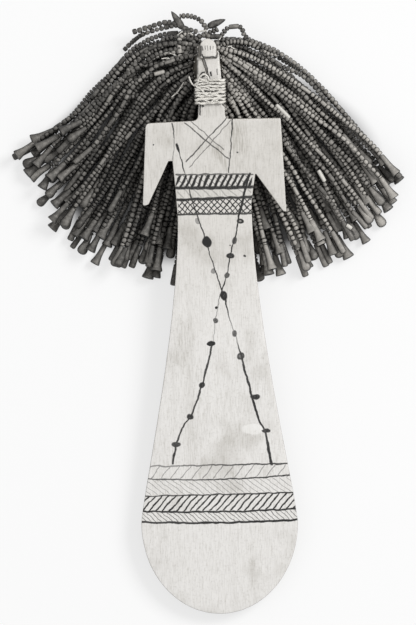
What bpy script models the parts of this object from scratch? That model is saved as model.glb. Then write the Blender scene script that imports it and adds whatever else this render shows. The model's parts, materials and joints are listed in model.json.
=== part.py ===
# Paddle doll: a flat carved wooden body, a corded neck, and hair of strung mud beads.
# It lies on its back with its painted front up. X runs to its viewer's right, Y towards the
# head, Z up, in metres. The foot of the blade touches the ground, and the shoulders and the
# head lie on the hair that spreads out beneath them. The origin is the middle of the ground
# that the whole doll covers.
import math
import random

import bmesh
import bpy
from mathutils import Vector
from mathutils.geometry import interpolate_bezier

# Touching pieces stand this far apart.
CLEARANCE = 0.0003

# The board. "Down" is a distance from the crown of the head towards the foot of the blade.
DOLL_LENGTH = 0.2304
BOARD_THICKNESS = 0.0065
EDGE_ROUND = 0.0004

# The head stub: a domed cap over a face that is cut back below a ledge.
HEAD_LENGTH = 0.0156
CAP_LENGTH = 0.0078
CAP_WIDTH = 0.0073
FACE_WIDTH = 0.0094
FACE_CUT = 0.0013
CHEEK_CUT = 0.0006
HEAD_OFFSET = 0.0016

# The linen cord wound round the neck.
CORD_DIAMETER = 0.00135
CORD_TURNS = 7.5
CORD_TURN_GAP = 0.0001

# The neck: narrow where the cord is wound, and a step wider below it.
BOUND_NECK_WIDTH = 0.0096
BOUND_NECK_OFFSET = 0.0010
NECK_WIDTH = 0.0107
NECK_OFFSET = 0.0006
NECK_STEP_LENGTH = 0.0006
NECK_BARE_LENGTH = 0.0027
NECK_FILLET = 0.0030

# Shoulders and arm stubs. The two sides differ, as cut by hand.
SHOULDER_WIDTH = 0.0540
LEFT_SHOULDER_FALL = 0.0013
LEFT_SHOULDER_ROUND = 0.0020
ARM_FLARE = 0.0017
LEFT_ARM_LENGTH = 0.0343
RIGHT_ARM_LENGTH = 0.0375
LEFT_ARM_TIP = 0.0023
RIGHT_ARM_TIP = 0.0013
LEFT_NOTCH_DOWN = 0.0165
RIGHT_NOTCH_DOWN = 0.0222
LEFT_NOTCH_WIDTH = 0.0016
RIGHT_NOTCH_WIDTH = 0.0003
CHEST_WIDTH = 0.0330

# Waist and blade.
WAIST_WIDTH = 0.0296
LEFT_WAIST_DOWN = 0.0390
RIGHT_WAIST_DOWN = 0.0338
BLADE_WIDTH = 0.0626
BLADE_END_LENGTH = 0.0364

# The hair. A strand is a thread of small beads with one larger bead at its end.
STRAND_DIAMETER = 0.0022
THREAD_DIAMETER = 0.0009
BARE_THREAD_LENGTH = 0.0030
STRAND_GAP = 0.0004
HAIR_LAYERS = 3
LAYER_STEP_BACK = 0.0100
END_BEAD_LENGTH = 0.0095
BELL_MOUTH_DIAMETER = 0.0044
DROP_DIAMETER = 0.0039
ROD_DIAMETER = 0.0027
HAIR_ABOVE_CROWN = 0.0104
SLACK_ABOVE_HAIR = 0.0016
SETTLE_REACH = 0.0300

# The gathered threads behind the head that every strand hangs from.
GATHER_WIDTH = 0.0128
GATHER_LENGTH = 0.0242
GATHER_FLOOR_GAP = 0.0008

# Each fan is a family of strands from the lowest, beside the body, to the highest. Angles
# are in degrees from straight down the doll, turning outwards. The reach shares say how far
# out the ends lie, from the lowest strand to the highest, and the end leans turn each end
# to a share of its tip's angle.
FANS = {
    "left": {
        "side": -1,
        "reach": 0.0880,
        "reach_shares": (0.990, 0.985, 0.985, 1.020, 1.034, 1.006, 0.950, 0.968, 0.985),
        "tip_angles": (9, 73),
        "start_angles": (2, 98),
        "start_pulls": (0.014, 0.040),
        "end_pulls": (0.042, 0.030),
        "end_leans": (0.92, 1.05),
    },
    "right": {
        "side": 1,
        "reach": 0.0905,
        "reach_shares": (0.961, 0.967, 1.000, 1.022, 1.036, 1.031, 1.028, 0.993, 0.978),
        "tip_angles": (12, 64),
        "start_angles": (2, 106),
        "start_pulls": (0.014, 0.032),
        "end_pulls": (0.042, 0.026),
        "end_leans": (0.92, 0.62),
    },
}
ROOT_ANGLES = (20, 168)
REACH_JITTER = 0.0010
SEED = 11
# Where in its fan the strand lies that reaches furthest to the side.
WIDEST_SPREAD = 0.907

# The uppermost strands cross those below, from the lowest to the highest in each fan: the end
# bead's kind, and places on the way, right of and above the hair's centre, as shares of the
# fan's reach.
UPPER_ROUTES = {
    "left": (
        ("bell", (-0.102, -0.199), (-0.176, -0.324),
         (-0.223, -0.460), (-0.255, -0.659), (-0.288, -0.875)),
        ("rod", (-0.131, -0.176), (-0.222, -0.301),
         (-0.290, -0.438), (-0.344, -0.636), (-0.393, -0.858)),
        ("bell", (-0.133, -0.126), (-0.247, -0.266),
         (-0.340, -0.436), (-0.423, -0.586), (-0.551, -0.812)),
        ("drop", (-0.165, -0.100), (-0.316, -0.234),
         (-0.440, -0.364), (-0.564, -0.514), (-0.670, -0.710)),
        ("bell", (-0.148, -0.034), (-0.295, -0.100),
         (-0.456, -0.141), (-0.602, -0.261), (-0.767, -0.523)),
        ("bell", (-0.148, -0.003), (-0.318, -0.027),
         (-0.455, -0.086), (-0.619, -0.227), (-0.795, -0.420)),
        ("bell", (-0.131, 0.041), (-0.330, 0.027),
         (-0.438, -0.011), (-0.591, -0.170), (-0.881, -0.373)),
        ("rod", (-0.127, 0.134), (-0.256, 0.114),
         (-0.369, 0.045), (-0.477, -0.080), (-0.602, -0.225)),
        (None, (-0.100, 0.170), (-0.209, 0.167),
         (-0.330, 0.111), (-0.425, 0.016), (-0.527, -0.109)),
    ),
    "right": (
        ("bell", (0.083, -0.221), (0.133, -0.354),
         (0.171, -0.486), (0.208, -0.663), (0.239, -0.895)),
        ("rod", (0.127, -0.199), (0.193, -0.331),
         (0.243, -0.475), (0.290, -0.674), (0.326, -0.873)),
        ("drop", (0.129, -0.106), (0.225, -0.215),
         (0.316, -0.362), (0.373, -0.530), (0.425, -0.818)),
        ("bell", (0.149, -0.072), (0.271, -0.182),
         (0.380, -0.382), (0.464, -0.597), (0.541, -0.823)),
        ("bell", (0.160, -0.022), (0.287, -0.122),
         (0.409, -0.304), (0.506, -0.508), (0.613, -0.746)),
        ("drop", (0.160, 0.027), (0.287, -0.077),
         (0.431, -0.275), (0.564, -0.486), (0.713, -0.685)),
        ("bell", (0.144, 0.082), (0.282, -0.002),
         (0.436, -0.149), (0.591, -0.337), (0.790, -0.630)),
        ("rod", (0.161, 0.099), (0.326, -0.007),
         (0.522, -0.166), (0.705, -0.350), (0.845, -0.486)),
        (None, (0.110, 0.135), (0.210, 0.105),
         (0.309, 0.024), (0.436, -0.044), (0.569, -0.210)),
    ),
}


# Broken strands and loops over the crown, as places right of and above the hair's centre.
CROWN_ROUTES = {
    "crown_strand_left": (
        (-0.0060, 0.0142),
        (-0.0105, 0.0178),
        (-0.0165, 0.0196),
        (-0.0232, 0.0178),
        (-0.0305, 0.0158),
    ),
    "crown_strand_right": (
        (0.0046, 0.0122),
        (0.0066, 0.0156),
        (0.0102, 0.0182),
        (0.0136, 0.0168),
        (0.0152, 0.0130),
        (0.0218, 0.0094),
        (0.0286, 0.0060),
    ),
    "crown_loop": (
        (-0.0004, 0.0152),
        (-0.0022, 0.0196),
        (-0.0068, 0.0219),
        (-0.0112, 0.0219),
    ),
}

ROUND_STEPS = 3
BLADE_SIDE_STEPS = 10
BLADE_END_STEPS = 11
HEAD_SIDES = 14
CORD_STEPS_PER_TURN = 14
# Below 1, the cord's turns follow the neck's square section more closely.
CORD_SQUARENESS = 0.28
GATHER_SIDES = 20
LONG_STRAND_STEPS = 6
SHORT_STRAND_STEPS = 3
UPPER_STRAND_STEPS = 7
# The heap's height is kept for small squares of the ground, and each strand keeps a margin round it.
HEAP_SQUARE = 0.0004
HEAP_MARGIN = 0.0002
SAG_ROUNDS = 4
ROUTE_SAMPLES = 33
CROWN_STEPS = 11
# Above 1, a strand's sections lie closer together near the head, where it bends.
BEND_CROWDING = 1.4

# The rounded edge stays well inside the narrow ends of the arms.
EDGE_EASE = min(EDGE_ROUND, LEFT_ARM_TIP * 0.22, RIGHT_ARM_TIP * 0.22)
BINDING_LENGTH = CORD_TURNS * (CORD_DIAMETER + CORD_TURN_GAP)
SHOULDER_DOWN = HEAD_LENGTH + BINDING_LENGTH + NECK_BARE_LENGTH + NECK_FILLET
ARM_TIP_DOWN = SHOULDER_DOWN + LEFT_ARM_LENGTH
GATHER_DOWN = GATHER_LENGTH / 2 + 0.0007
STRAND_RADIUS = STRAND_DIAMETER / 2
LAYER_PITCH = STRAND_DIAMETER + STRAND_GAP
HAIR_TOP = HAIR_LAYERS * LAYER_PITCH
TILT = math.asin((HAIR_TOP + SLACK_ABOVE_HAIR) / (DOLL_LENGTH - ARM_TIP_DOWN))


def lerp(start, end, share):
    return start + (end - start) * share


def ease(share):
    share = min(1.0, max(0.0, share))
    return share * share * (3 - 2 * share)


def back_height(down):
    # Height of the board's back above the ground at a distance from the crown.
    return (DOLL_LENGTH - down) * math.sin(TILT)


def fan_reach(fan, spread):
    # How far out a strand of the lowest layer ends, from the lowest strand to the highest.
    shares = fan["reach_shares"]
    place_there = spread * (len(shares) - 1)
    index = min(int(place_there), len(shares) - 2)
    return fan["reach"] * lerp(shares[index], shares[index + 1], place_there - index)


def fan_width(fan):
    return fan_reach(fan, WIDEST_SPREAD) * math.sin(math.radians(lerp(*fan["tip_angles"], WIDEST_SPREAD)))


# Where the tilted board and the hair's centre stand in the frame of the whole doll.
AXIS_X = (fan_width(FANS["left"]) - fan_width(FANS["right"])) / 2 + HEAD_OFFSET
FOOT_Y = -(DOLL_LENGTH * math.cos(TILT) + HAIR_ABOVE_CROWN) / 2
HAIR_X = AXIS_X - HEAD_OFFSET
HAIR_Y = FOOT_Y + (DOLL_LENGTH - GATHER_DOWN) * math.cos(TILT)


def clear_scene():
    for scene_object in list(bpy.data.objects):
        bpy.data.objects.remove(scene_object, do_unlink=True)


def plain_material(name, colour, roughness):
    material = bpy.data.materials.new(name)
    material.use_nodes = True
    shader = material.node_tree.nodes["Principled BSDF"]
    shader.inputs["Base Color"].default_value = (*colour, 1.0)
    shader.inputs["Roughness"].default_value = roughness
    shader.inputs["Metallic"].default_value = 0.0
    return material


def place(name, data, material, parent=None):
    new = bpy.data.objects.new(name, data)
    bpy.context.scene.collection.objects.link(new)
    new.parent = parent
    if material:
        data.materials.append(material)
    return new


def anchor(name, location, tilt=0.0):
    empty = place(name, None, None)
    empty.location = location
    empty.rotation_euler = (tilt, 0.0, 0.0)
    return empty


def finish_mesh(name, shape):
    bmesh.ops.recalc_face_normals(shape, faces=shape.faces)
    mesh = bpy.data.meshes.new(name)
    shape.to_mesh(mesh)
    shape.free()
    mesh.shade_smooth()
    mesh.set_sharp_from_angle(angle=math.radians(35))
    return mesh


def loft(name, rings):
    # A closed solid through rings that all have the same number of points.
    shape = bmesh.new()
    loops = [[shape.verts.new(point) for point in ring] for ring in rings]
    count = len(loops[0])
    for lower, upper in zip(loops, loops[1:]):
        for index in range(count):
            after = (index + 1) % count
            shape.faces.new((lower[index], lower[after], upper[after], upper[index]))
    shape.faces.new(loops[0])
    shape.faces.new(list(reversed(loops[-1])))
    return finish_mesh(name, shape)


def rounded_corner(before, corner, after, radius, steps=ROUND_STEPS):
    # Points of the arc that rounds a corner, limited by the two sides it joins.
    before, corner, after = Vector(before), Vector(corner), Vector(after)
    inward, outward = before - corner, after - corner
    half_angle = inward.angle(outward) / 2
    trim = min(radius / math.tan(half_angle), inward.length * 0.45, outward.length * 0.45)
    start = corner + inward.normalized() * trim
    end = corner + outward.normalized() * trim
    return [quadratic(start, corner, end, step / steps) for step in range(steps + 1)]


def quadratic(start, middle, end, share):
    return start.lerp(middle, share).lerp(middle.lerp(end, share), share)


def side_points(side):
    # One side of the board from the neck to the foot, as (right, down) pairs.
    left = side < 0
    fall = LEFT_SHOULDER_FALL if left else 0.0
    arm_length = LEFT_ARM_LENGTH if left else RIGHT_ARM_LENGTH
    tip_width = LEFT_ARM_TIP if left else RIGHT_ARM_TIP
    notch_down = SHOULDER_DOWN + (LEFT_NOTCH_DOWN if left else RIGHT_NOTCH_DOWN)
    notch_width = LEFT_NOTCH_WIDTH if left else RIGHT_NOTCH_WIDTH
    shoulder_round = LEFT_SHOULDER_ROUND if left else EDGE_ROUND * 1.5
    bound_x = side * BOUND_NECK_WIDTH / 2 - BOUND_NECK_OFFSET
    bound_foot = HEAD_LENGTH + BINDING_LENGTH + CLEARANCE
    neck_x = side * NECK_WIDTH / 2 - NECK_OFFSET
    shoulder_x = side * SHOULDER_WIDTH / 2
    tip_x = shoulder_x + side * ARM_FLARE
    tip_down = SHOULDER_DOWN + arm_length
    notch_x = side * (CHEST_WIDTH / 2 + notch_width)
    chest_x = side * CHEST_WIDTH / 2
    waist_x = side * WAIST_WIDTH / 2
    waist_down = SHOULDER_DOWN + (LEFT_WAIST_DOWN if left else RIGHT_WAIST_DOWN)
    widest_down = DOLL_LENGTH - BLADE_END_LENGTH
    neck_top = (neck_x, bound_foot + NECK_STEP_LENGTH)
    neck_foot = (neck_x, SHOULDER_DOWN + fall * 0.4)
    shoulder = (shoulder_x, SHOULDER_DOWN + fall)
    tip_out = (tip_x, tip_down)
    tip_in = (tip_x - side * tip_width, tip_down - tip_width * 0.25)
    notch_out = (notch_x, notch_down)
    notch_in = (chest_x, notch_down)
    chest = (lerp(chest_x, waist_x, 0.6), (notch_down + waist_down) / 2)
    waist = (waist_x, waist_down)
    bound_top = (bound_x, HEAD_LENGTH + CORD_DIAMETER)
    points = [Vector(bound_top), Vector((bound_x, bound_foot)), Vector(neck_top)]
    points += rounded_corner(neck_top, neck_foot, shoulder, NECK_FILLET)
    points += rounded_corner(neck_foot, shoulder, tip_out, shoulder_round)
    points += rounded_corner(shoulder, tip_out, tip_in, tip_width * 0.4)
    points += rounded_corner(tip_out, tip_in, notch_out, tip_width * 0.4)
    points += [Vector(notch_out), Vector(notch_in)]
    points += [quadratic(Vector(notch_in), Vector(chest), Vector(waist), 0.5)]
    points += blade_side(side, waist_down, widest_down)
    points += blade_end(side, widest_down)
    return points


def blade_side(side, waist_down, widest_down):
    # The long flare from the waist to the widest place, in one curve.
    run = widest_down - waist_down
    waist_x = side * WAIST_WIDTH / 2
    widest_x = side * BLADE_WIDTH / 2
    curve = interpolate_bezier(
        Vector((waist_x, waist_down)),
        Vector((waist_x, waist_down + run * 0.36)),
        Vector((widest_x, widest_down - run * 0.07)),
        Vector((widest_x, widest_down)),
        BLADE_SIDE_STEPS,
    )
    return [Vector(point[:2]) for point in curve]


def blade_end(side, widest_down):
    # A quarter of an ellipse from the widest place round to just short of the foot.
    points = []
    for step in range(1, BLADE_END_STEPS):
        angle = math.pi / 2 * step / BLADE_END_STEPS
        across = side * BLADE_WIDTH / 2 * math.cos(angle)
        points.append(Vector((across, widest_down + BLADE_END_LENGTH * math.sin(angle))))
    return points


def board_blank(parent, material):
    # The board below the head, cut to its outline and eased along its edges.
    outline = side_points(1) + [Vector((0.0, DOLL_LENGTH))] + list(reversed(side_points(-1)))
    shape = bmesh.new()
    verts = [shape.verts.new((point.x, DOLL_LENGTH - point.y, 0.0)) for point in outline]
    base = shape.faces.new(verts)
    raised = bmesh.ops.extrude_face_region(shape, geom=[base])
    top_verts = [item for item in raised["geom"] if isinstance(item, bmesh.types.BMVert)]
    bmesh.ops.translate(shape, verts=top_verts, vec=(0.0, 0.0, BOARD_THICKNESS))
    rims = [edge for edge in shape.edges if abs(edge.verts[0].co.z - edge.verts[1].co.z) < 1e-6]
    bmesh.ops.bevel(
        shape, geom=rims, offset=EDGE_EASE, segments=2, profile=0.5, affect="EDGES", material=-1
    )
    # A line across the middle parts the blade's flat faces from those over the hair.
    bmesh.ops.bisect_plane(
        shape,
        geom=shape.verts[:] + shape.edges[:] + shape.faces[:],
        plane_co=(0.0, DOLL_LENGTH / 2, 0.0),
        plane_no=(0.0, 1.0, 0.0),
    )
    return place("paddle", finish_mesh("paddle", shape), material, parent)


def head_section(down, width, low, high, squareness):
    # One rounded section across the head, with its own thickness from low to high.
    ring = []
    for step in range(HEAD_SIDES):
        angle = math.tau * step / HEAD_SIDES
        across = math.copysign(abs(math.cos(angle)) ** squareness, math.cos(angle))
        upward = math.copysign(abs(math.sin(angle)) ** squareness, math.sin(angle))
        x = lerp(-HEAD_OFFSET, -BOUND_NECK_OFFSET, ease(down / SHOULDER_DOWN)) + across * width / 2
        z = (low + high) / 2 + upward * (high - low) / 2
        ring.append((x, DOLL_LENGTH - down, z))
    return ring


def head_stub(parent):
    # The cap is domed over the crown, ends in a ledge, and the face slopes back out below it.
    full = BOARD_THICKNESS
    face = full - FACE_CUT
    face_low = full - FACE_CUT * 0.45
    below_ledge = CAP_LENGTH + FACE_CUT * 0.2
    root_width = min(BOUND_NECK_WIDTH, FACE_WIDTH) * 0.86
    sections = (
        (0.0, CAP_WIDTH * 0.20, full * 0.36, full * 0.66, 1.0),
        (CAP_LENGTH * 0.07, CAP_WIDTH * 0.50, full * 0.16, full * 0.86, 0.9),
        (CAP_LENGTH * 0.22, CAP_WIDTH * 0.77, full * 0.05, full * 0.96, 0.8),
        (CAP_LENGTH * 0.48, CAP_WIDTH * 0.97, 0.0, full, 0.7),
        (CAP_LENGTH * 0.95, CAP_WIDTH * 1.04, 0.0, full * 0.99, 0.65),
        (CAP_LENGTH, FACE_WIDTH * 0.94, 0.0, full * 0.97, 0.6),
        (below_ledge, FACE_WIDTH * 0.95, 0.0, face, 0.55),
        (HEAD_LENGTH, FACE_WIDTH * 1.04, 0.0, face_low, 0.55),
        (HEAD_LENGTH + CORD_DIAMETER * 1.5, root_width, full * 0.06, face_low * 0.97, 0.6),
        (HEAD_LENGTH + BINDING_LENGTH * 0.8, root_width * 0.95, full * 0.1, face_low * 0.9, 0.6),
    )
    rings = [head_section(*section) for section in sections]
    return place("head_stub_guide", loft("head_stub_guide", rings), None, parent)


def cheek_cutter(parent):
    # Wood has split off the left of the face along a slanting line, so it lies lower there.
    top = CAP_LENGTH + FACE_CUT * 0.2
    bottom = HEAD_LENGTH + CORD_DIAMETER * 0.6
    outer = -HEAD_OFFSET - FACE_WIDTH
    ridge_top = -HEAD_OFFSET - FACE_WIDTH * 0.24
    ridge_bottom = -HEAD_OFFSET + FACE_WIDTH * 0.03
    corners = ((outer, top), (ridge_top, top), (ridge_bottom, bottom), (outer, bottom))
    inner_z = BOARD_THICKNESS - FACE_CUT - CHEEK_CUT
    rings = []
    for above in (0.0, BOARD_THICKNESS):
        ring = []
        for x, down in corners:
            z = BOARD_THICKNESS * 2 if above else inner_z - CHEEK_CUT * (x == outer)
            ring.append((x, DOLL_LENGTH - down, z))
        rings.append(ring)
    return place("cheek_guide", loft("cheek_guide", rings), None, parent)


def join_shape(target, guide, operation):
    guide.hide_render = True
    guide.display_type = "WIRE"
    modifier = target.modifiers.new(guide.name, "BOOLEAN")
    modifier.operation = operation
    modifier.object = guide
    modifier.solver = "EXACT"


def make_paddle(parent, material):
    paddle = board_blank(parent, material)
    join_shape(paddle, head_stub(parent), "UNION")
    join_shape(paddle, cheek_cutter(parent), "DIFFERENCE")
    return paddle


def neck_ring_point(turn):
    # A place on the cord's middle line, a rounded rectangle that follows the neck's section.
    reach = CLEARANCE + CORD_DIAMETER / 2
    half_x = BOUND_NECK_WIDTH / 2 + reach
    half_z = BOARD_THICKNESS / 2 + reach
    angle = math.tau * turn
    across = math.copysign(abs(math.cos(angle)) ** CORD_SQUARENESS, math.cos(angle))
    upward = math.copysign(abs(math.sin(angle)) ** CORD_SQUARENESS, math.sin(angle))
    return across * half_x - BOUND_NECK_OFFSET, BOARD_THICKNESS / 2 + upward * half_z


def tube(name, points, diameter, factors=None, resolution=1):
    curve = bpy.data.curves.new(name, "CURVE")
    curve.dimensions = "3D"
    curve.bevel_depth = diameter / 2
    curve.bevel_resolution = resolution
    curve.use_fill_caps = True
    spline = curve.splines.new("POLY")
    spline.points.add(len(points) - 1)
    for index, point in enumerate(points):
        spline.points[index].co = (*point, 1.0)
        spline.points[index].radius = factors[index] if factors else 1.0
        spline.points[index].tilt = 0.0
    return curve


def make_binding(parent, material):
    steps = round(CORD_TURNS * CORD_STEPS_PER_TURN)
    top = HEAD_LENGTH + CORD_DIAMETER / 2
    run = BINDING_LENGTH - CORD_DIAMETER
    points = []
    for step in range(steps + 1):
        x, z = neck_ring_point((step + 0.5) / CORD_STEPS_PER_TURN)
        points.append((x, DOLL_LENGTH - lerp(top, top + run, step / steps), z))
    return place("neck_binding", tube("neck_binding", points, CORD_DIAMETER), material, parent)


def gather_ring(depth, width, length, middle_down):
    ring = []
    for step in range(GATHER_SIDES):
        angle = math.tau * step / GATHER_SIDES
        x = -HEAD_OFFSET + math.cos(angle) * width / 2
        ring.append((x, DOLL_LENGTH - middle_down + math.sin(angle) * length / 2, -depth))
    return ring


def make_hair_threads(parent, material):
    # A neck of thread meets the head's back and widens into the knot below the cord.
    below_cord = CLEARANCE * 2 + CORD_DIAMETER
    depth = back_height(GATHER_DOWN + GATHER_LENGTH / 2) - GATHER_FLOOR_GAP
    stem_length = HEAD_LENGTH * 0.72
    stem_down = HEAD_LENGTH * 0.56
    inset = STRAND_RADIUS
    rings = [
        gather_ring(CLEARANCE, CAP_WIDTH * 0.8, stem_length, stem_down),
        gather_ring(below_cord, CAP_WIDTH * 0.9, stem_length, stem_down),
        gather_ring(below_cord + inset * 0.2, GATHER_WIDTH - inset, GATHER_LENGTH - inset, GATHER_DOWN),
        gather_ring(below_cord + inset, GATHER_WIDTH, GATHER_LENGTH, GATHER_DOWN),
        gather_ring(depth - inset * 0.5, GATHER_WIDTH, GATHER_LENGTH, GATHER_DOWN),
        gather_ring(depth, GATHER_WIDTH - inset, GATHER_LENGTH - inset, GATHER_DOWN),
    ]
    return place("hair_threads", loft("hair_threads", rings), material, parent)


def outward(side, degrees):
    angle = math.radians(degrees)
    return Vector((side * math.sin(angle), -math.cos(angle)))


def root_point(side, spread):
    # Where a strand leaves the gathered threads, on an ellipse round their middle.
    direction = outward(side, lerp(*ROOT_ANGLES, spread))
    away = CLEARANCE + THREAD_DIAMETER / 2
    reach_x = GATHER_WIDTH / 2 + away
    reach_y = GATHER_LENGTH / 2 + away
    return Vector((direction.x * reach_x, direction.y * reach_y))


def strand_plan(fan, spread, reach):
    # The route seen from above: out of the threads, over, and down towards the tip.
    side = fan["side"]
    tip_angle = lerp(*fan["tip_angles"], spread)
    root = root_point(side, spread)
    tip = outward(side, tip_angle) * reach
    start = outward(side, lerp(*fan["start_angles"], spread)) * lerp(*fan["start_pulls"], spread)
    end = outward(side, tip_angle * lerp(*fan["end_leans"], spread)) * lerp(*fan["end_pulls"], spread)
    plan = interpolate_bezier(root, root + start, tip - end, tip, ROUTE_SAMPLES)
    return [Vector(point[:2]) for point in plan]


def running_lengths(plan):
    lengths = [0.0]
    for before, after in zip(plan, plan[1:]):
        lengths.append(lengths[-1] + (after - before).length)
    return lengths


def at_length(plan, lengths, wanted):
    for index in range(1, len(plan)):
        if lengths[index] >= wanted:
            share = (wanted - lengths[index - 1]) / (lengths[index] - lengths[index - 1])
            return plan[index - 1].lerp(plan[index], share)
    return plan[-1].copy()


def end_bead_stations(kind):
    # Shares of the end bead's length with the diameter there.
    if kind == "bell":
        waist = ROD_DIAMETER
        return ((0.0, waist), (0.45, lerp(waist, BELL_MOUTH_DIAMETER, 0.25)), (1.0, BELL_MOUTH_DIAMETER))
    if kind == "drop":
        return ((0.0, ROD_DIAMETER * 0.8), (0.70, DROP_DIAMETER), (1.0, DROP_DIAMETER * 0.55))
    return ((0.0, ROD_DIAMETER * 0.9), (0.9, ROD_DIAMETER), (1.0, ROD_DIAMETER * 0.8))


def strand_stations(length, kind, steps):
    # Distances along a strand with the diameter there: bare thread, beads, end bead.
    bead_start = BARE_THREAD_LENGTH
    bead_end = length - (END_BEAD_LENGTH if kind else 0.0)
    stations = [(0.0, THREAD_DIAMETER), (bead_start - THREAD_DIAMETER / 2, THREAD_DIAMETER)]
    last = steps if kind else steps + 1
    for step in range(last):
        share = (step / steps) ** BEND_CROWDING
        stations.append((lerp(bead_start, bead_end, share), STRAND_DIAMETER))
    if kind:
        for share, diameter in end_bead_stations(kind):
            stations.append((lerp(bead_end, length, share), diameter))
    return stations


def layer_heights():
    # Each layer's height where it leaves the threads, and where it lies spread out.
    low = back_height(GATHER_DOWN - GATHER_LENGTH / 2) - back_height(GATHER_DOWN + GATHER_LENGTH / 2)
    low += GATHER_FLOOR_GAP + THREAD_DIAMETER
    high = back_height(HEAD_LENGTH + BINDING_LENGTH) - CORD_DIAMETER - CLEARANCE * 2 - STRAND_RADIUS
    heights = []
    for layer in range(HAIR_LAYERS):
        at_root = lerp(low, high, layer / (HAIR_LAYERS - 1))
        heights.append((at_root, STRAND_RADIUS + layer * LAYER_PITCH))
    return heights


def squares_under(place_there, radius):
    # The squares below a round strand and its margin, each with half its height over the square.
    radius += HEAP_MARGIN
    first = [math.floor((value - radius) / HEAP_SQUARE) for value in place_there[:2]]
    last = [math.floor((value + radius) / HEAP_SQUARE) for value in place_there[:2]]
    for column in range(first[0], last[0] + 1):
        for row in range(first[1], last[1] + 1):
            middle = Vector((column + 0.5, row + 0.5)) * HEAP_SQUARE
            away = (middle - Vector(place_there[:2])).length
            if away < radius:
                yield (column, row), math.sqrt(radius * radius - away * away)


def along_segment(start, end, start_radius, end_radius):
    # Close places along one straight piece of a strand, each with its share and radius.
    count = max(2, math.ceil((end - start).length / HEAP_SQUARE))
    for step in range(count + 1):
        share = step / count
        yield share, start.lerp(end, share), lerp(start_radius, end_radius, share)


def lay_on_heap(heap, points, radii):
    for index in range(len(points) - 1):
        for _, place_there, radius in along_segment(*points[index:index + 2], *radii[index:index + 2]):
            for square, half_height in squares_under(place_there, radius):
                heap[square] = max(heap.get(square, 0.0), place_there.z + half_height)


def rest_on_heap(heap, points, radii):
    # The lowest heights of the points at which the whole strand clears all that lies below.
    needs = []
    for index in range(len(points) - 1):
        for share, place_there, radius in along_segment(*points[index:index + 2], *radii[index:index + 2]):
            squares = squares_under(place_there, radius)
            below = max(heap.get(square, -half) + half for square, half in squares)
            if below > 0:
                needs.append((index, share, below))
    heights = [point.z for point in points]
    for index, share, need in needs:
        heights[index] = max(heights[index], need)
        heights[index + 1] = max(heights[index + 1], need)
    for _ in range(SAG_ROUNDS):
        for index in range(len(points)):
            lowest = points[index].z
            for segment, share, need in needs:
                if segment == index and share < 1:
                    lowest = max(lowest, (need - heights[index + 1] * share) / (1 - share))
                if segment == index - 1 and share > 0:
                    lowest = max(lowest, (need - heights[index - 1] * (1 - share)) / share)
            heights[index] = min(heights[index], lowest)
    return [Vector((point.x, point.y, height)) for point, height in zip(points, heights)]


def make_strand(name, plan, heights, kind, steps, heap, parent, material):
    lengths = running_lengths(plan)
    stations = strand_stations(lengths[-1], kind, steps)
    points = []
    for distance, diameter in stations:
        place_there = at_length(plan, lengths, distance)
        settled = ease((place_there.length - GATHER_WIDTH / 2) / SETTLE_REACH)
        height = lerp(*heights, settled)
        if diameter > STRAND_DIAMETER:
            height += (diameter - STRAND_DIAMETER) / 2
        points.append(Vector((place_there.x, place_there.y, height)))
    radii = [diameter / 2 for _, diameter in stations]
    if steps >= UPPER_STRAND_STEPS:
        points = rest_on_heap(heap, points, radii)
    lay_on_heap(heap, points, radii)
    factors = [radius / STRAND_RADIUS for radius in radii]
    return place(name, tube(name, points, STRAND_DIAMETER, factors), material, parent)


def strands_in_layer():
    # As many strands as fit side by side round one flank of the gathered threads.
    half_x = GATHER_WIDTH / 2
    half_y = GATHER_LENGTH / 2
    flank = math.pi * math.sqrt((half_x * half_x + half_y * half_y) / 2)
    flank *= (ROOT_ANGLES[1] - ROOT_ANGLES[0]) / 180
    return int(flank / (STRAND_DIAMETER + STRAND_GAP))


def make_fan(label, heap, parent, material):
    # The lower layers are spread evenly, and the uppermost strands are laid over them by hand.
    fan = FANS[label]
    draw = random.Random(SEED + fan["side"])
    heights = layer_heights()
    count = strands_in_layer()
    for layer in range(HAIR_LAYERS - 1):
        for index in range(count):
            spread = (index + 0.5 + (layer - 1) / HAIR_LAYERS) / count
            reach = fan_reach(fan, spread) - layer * LAYER_STEP_BACK
            reach += draw.uniform(-1, 1) * REACH_JITTER
            kind = draw.choice(("bell", "bell", "drop", "rod"))
            steps = round(lerp(SHORT_STRAND_STEPS, LONG_STRAND_STEPS, spread))
            name = f"strand_{label}_{layer * count + index + 1:02d}"
            plan = strand_plan(fan, spread, reach)
            make_strand(name, plan, heights[layer], kind, steps, heap, parent, material)
    upper = UPPER_ROUTES[label]
    for index, (kind, *places) in enumerate(upper):
        root = root_point(fan["side"], (index + 0.5) / len(upper))
        name = f"strand_{label}_{(HAIR_LAYERS - 1) * count + index + 1:02d}"
        plan = smooth_route([root] + [Vector(there) * fan["reach"] for there in places])
        upper_heights = (heights[-1][0], heights[1][1])
        make_strand(name, plan, upper_heights, kind, UPPER_STRAND_STEPS, heap, parent, material)


def smooth_route(points):
    # A smooth line through a few places chosen by hand.
    points = [Vector(point) for point in points]
    ends = [points[0] * 2 - points[1]] + points + [points[-1] * 2 - points[-2]]
    route = []
    for index in range(1, len(ends) - 2):
        before, start, end, after = ends[index - 1:index + 3]
        part = interpolate_bezier(start, start + (end - before) / 6, end - (after - start) / 6, end, 9)
        route += [Vector(point[:2]) for point in part[:-1]]
    return route + [points[-1]]


def make_crown_strands(heap, parent, material):
    # They start above the fans and lie on them.
    heights = [height + LAYER_PITCH for height in layer_heights()[-1]]
    for name, places in CROWN_ROUTES.items():
        make_strand(name, smooth_route(places), heights, None, CROWN_STEPS, heap, parent, material)


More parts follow.
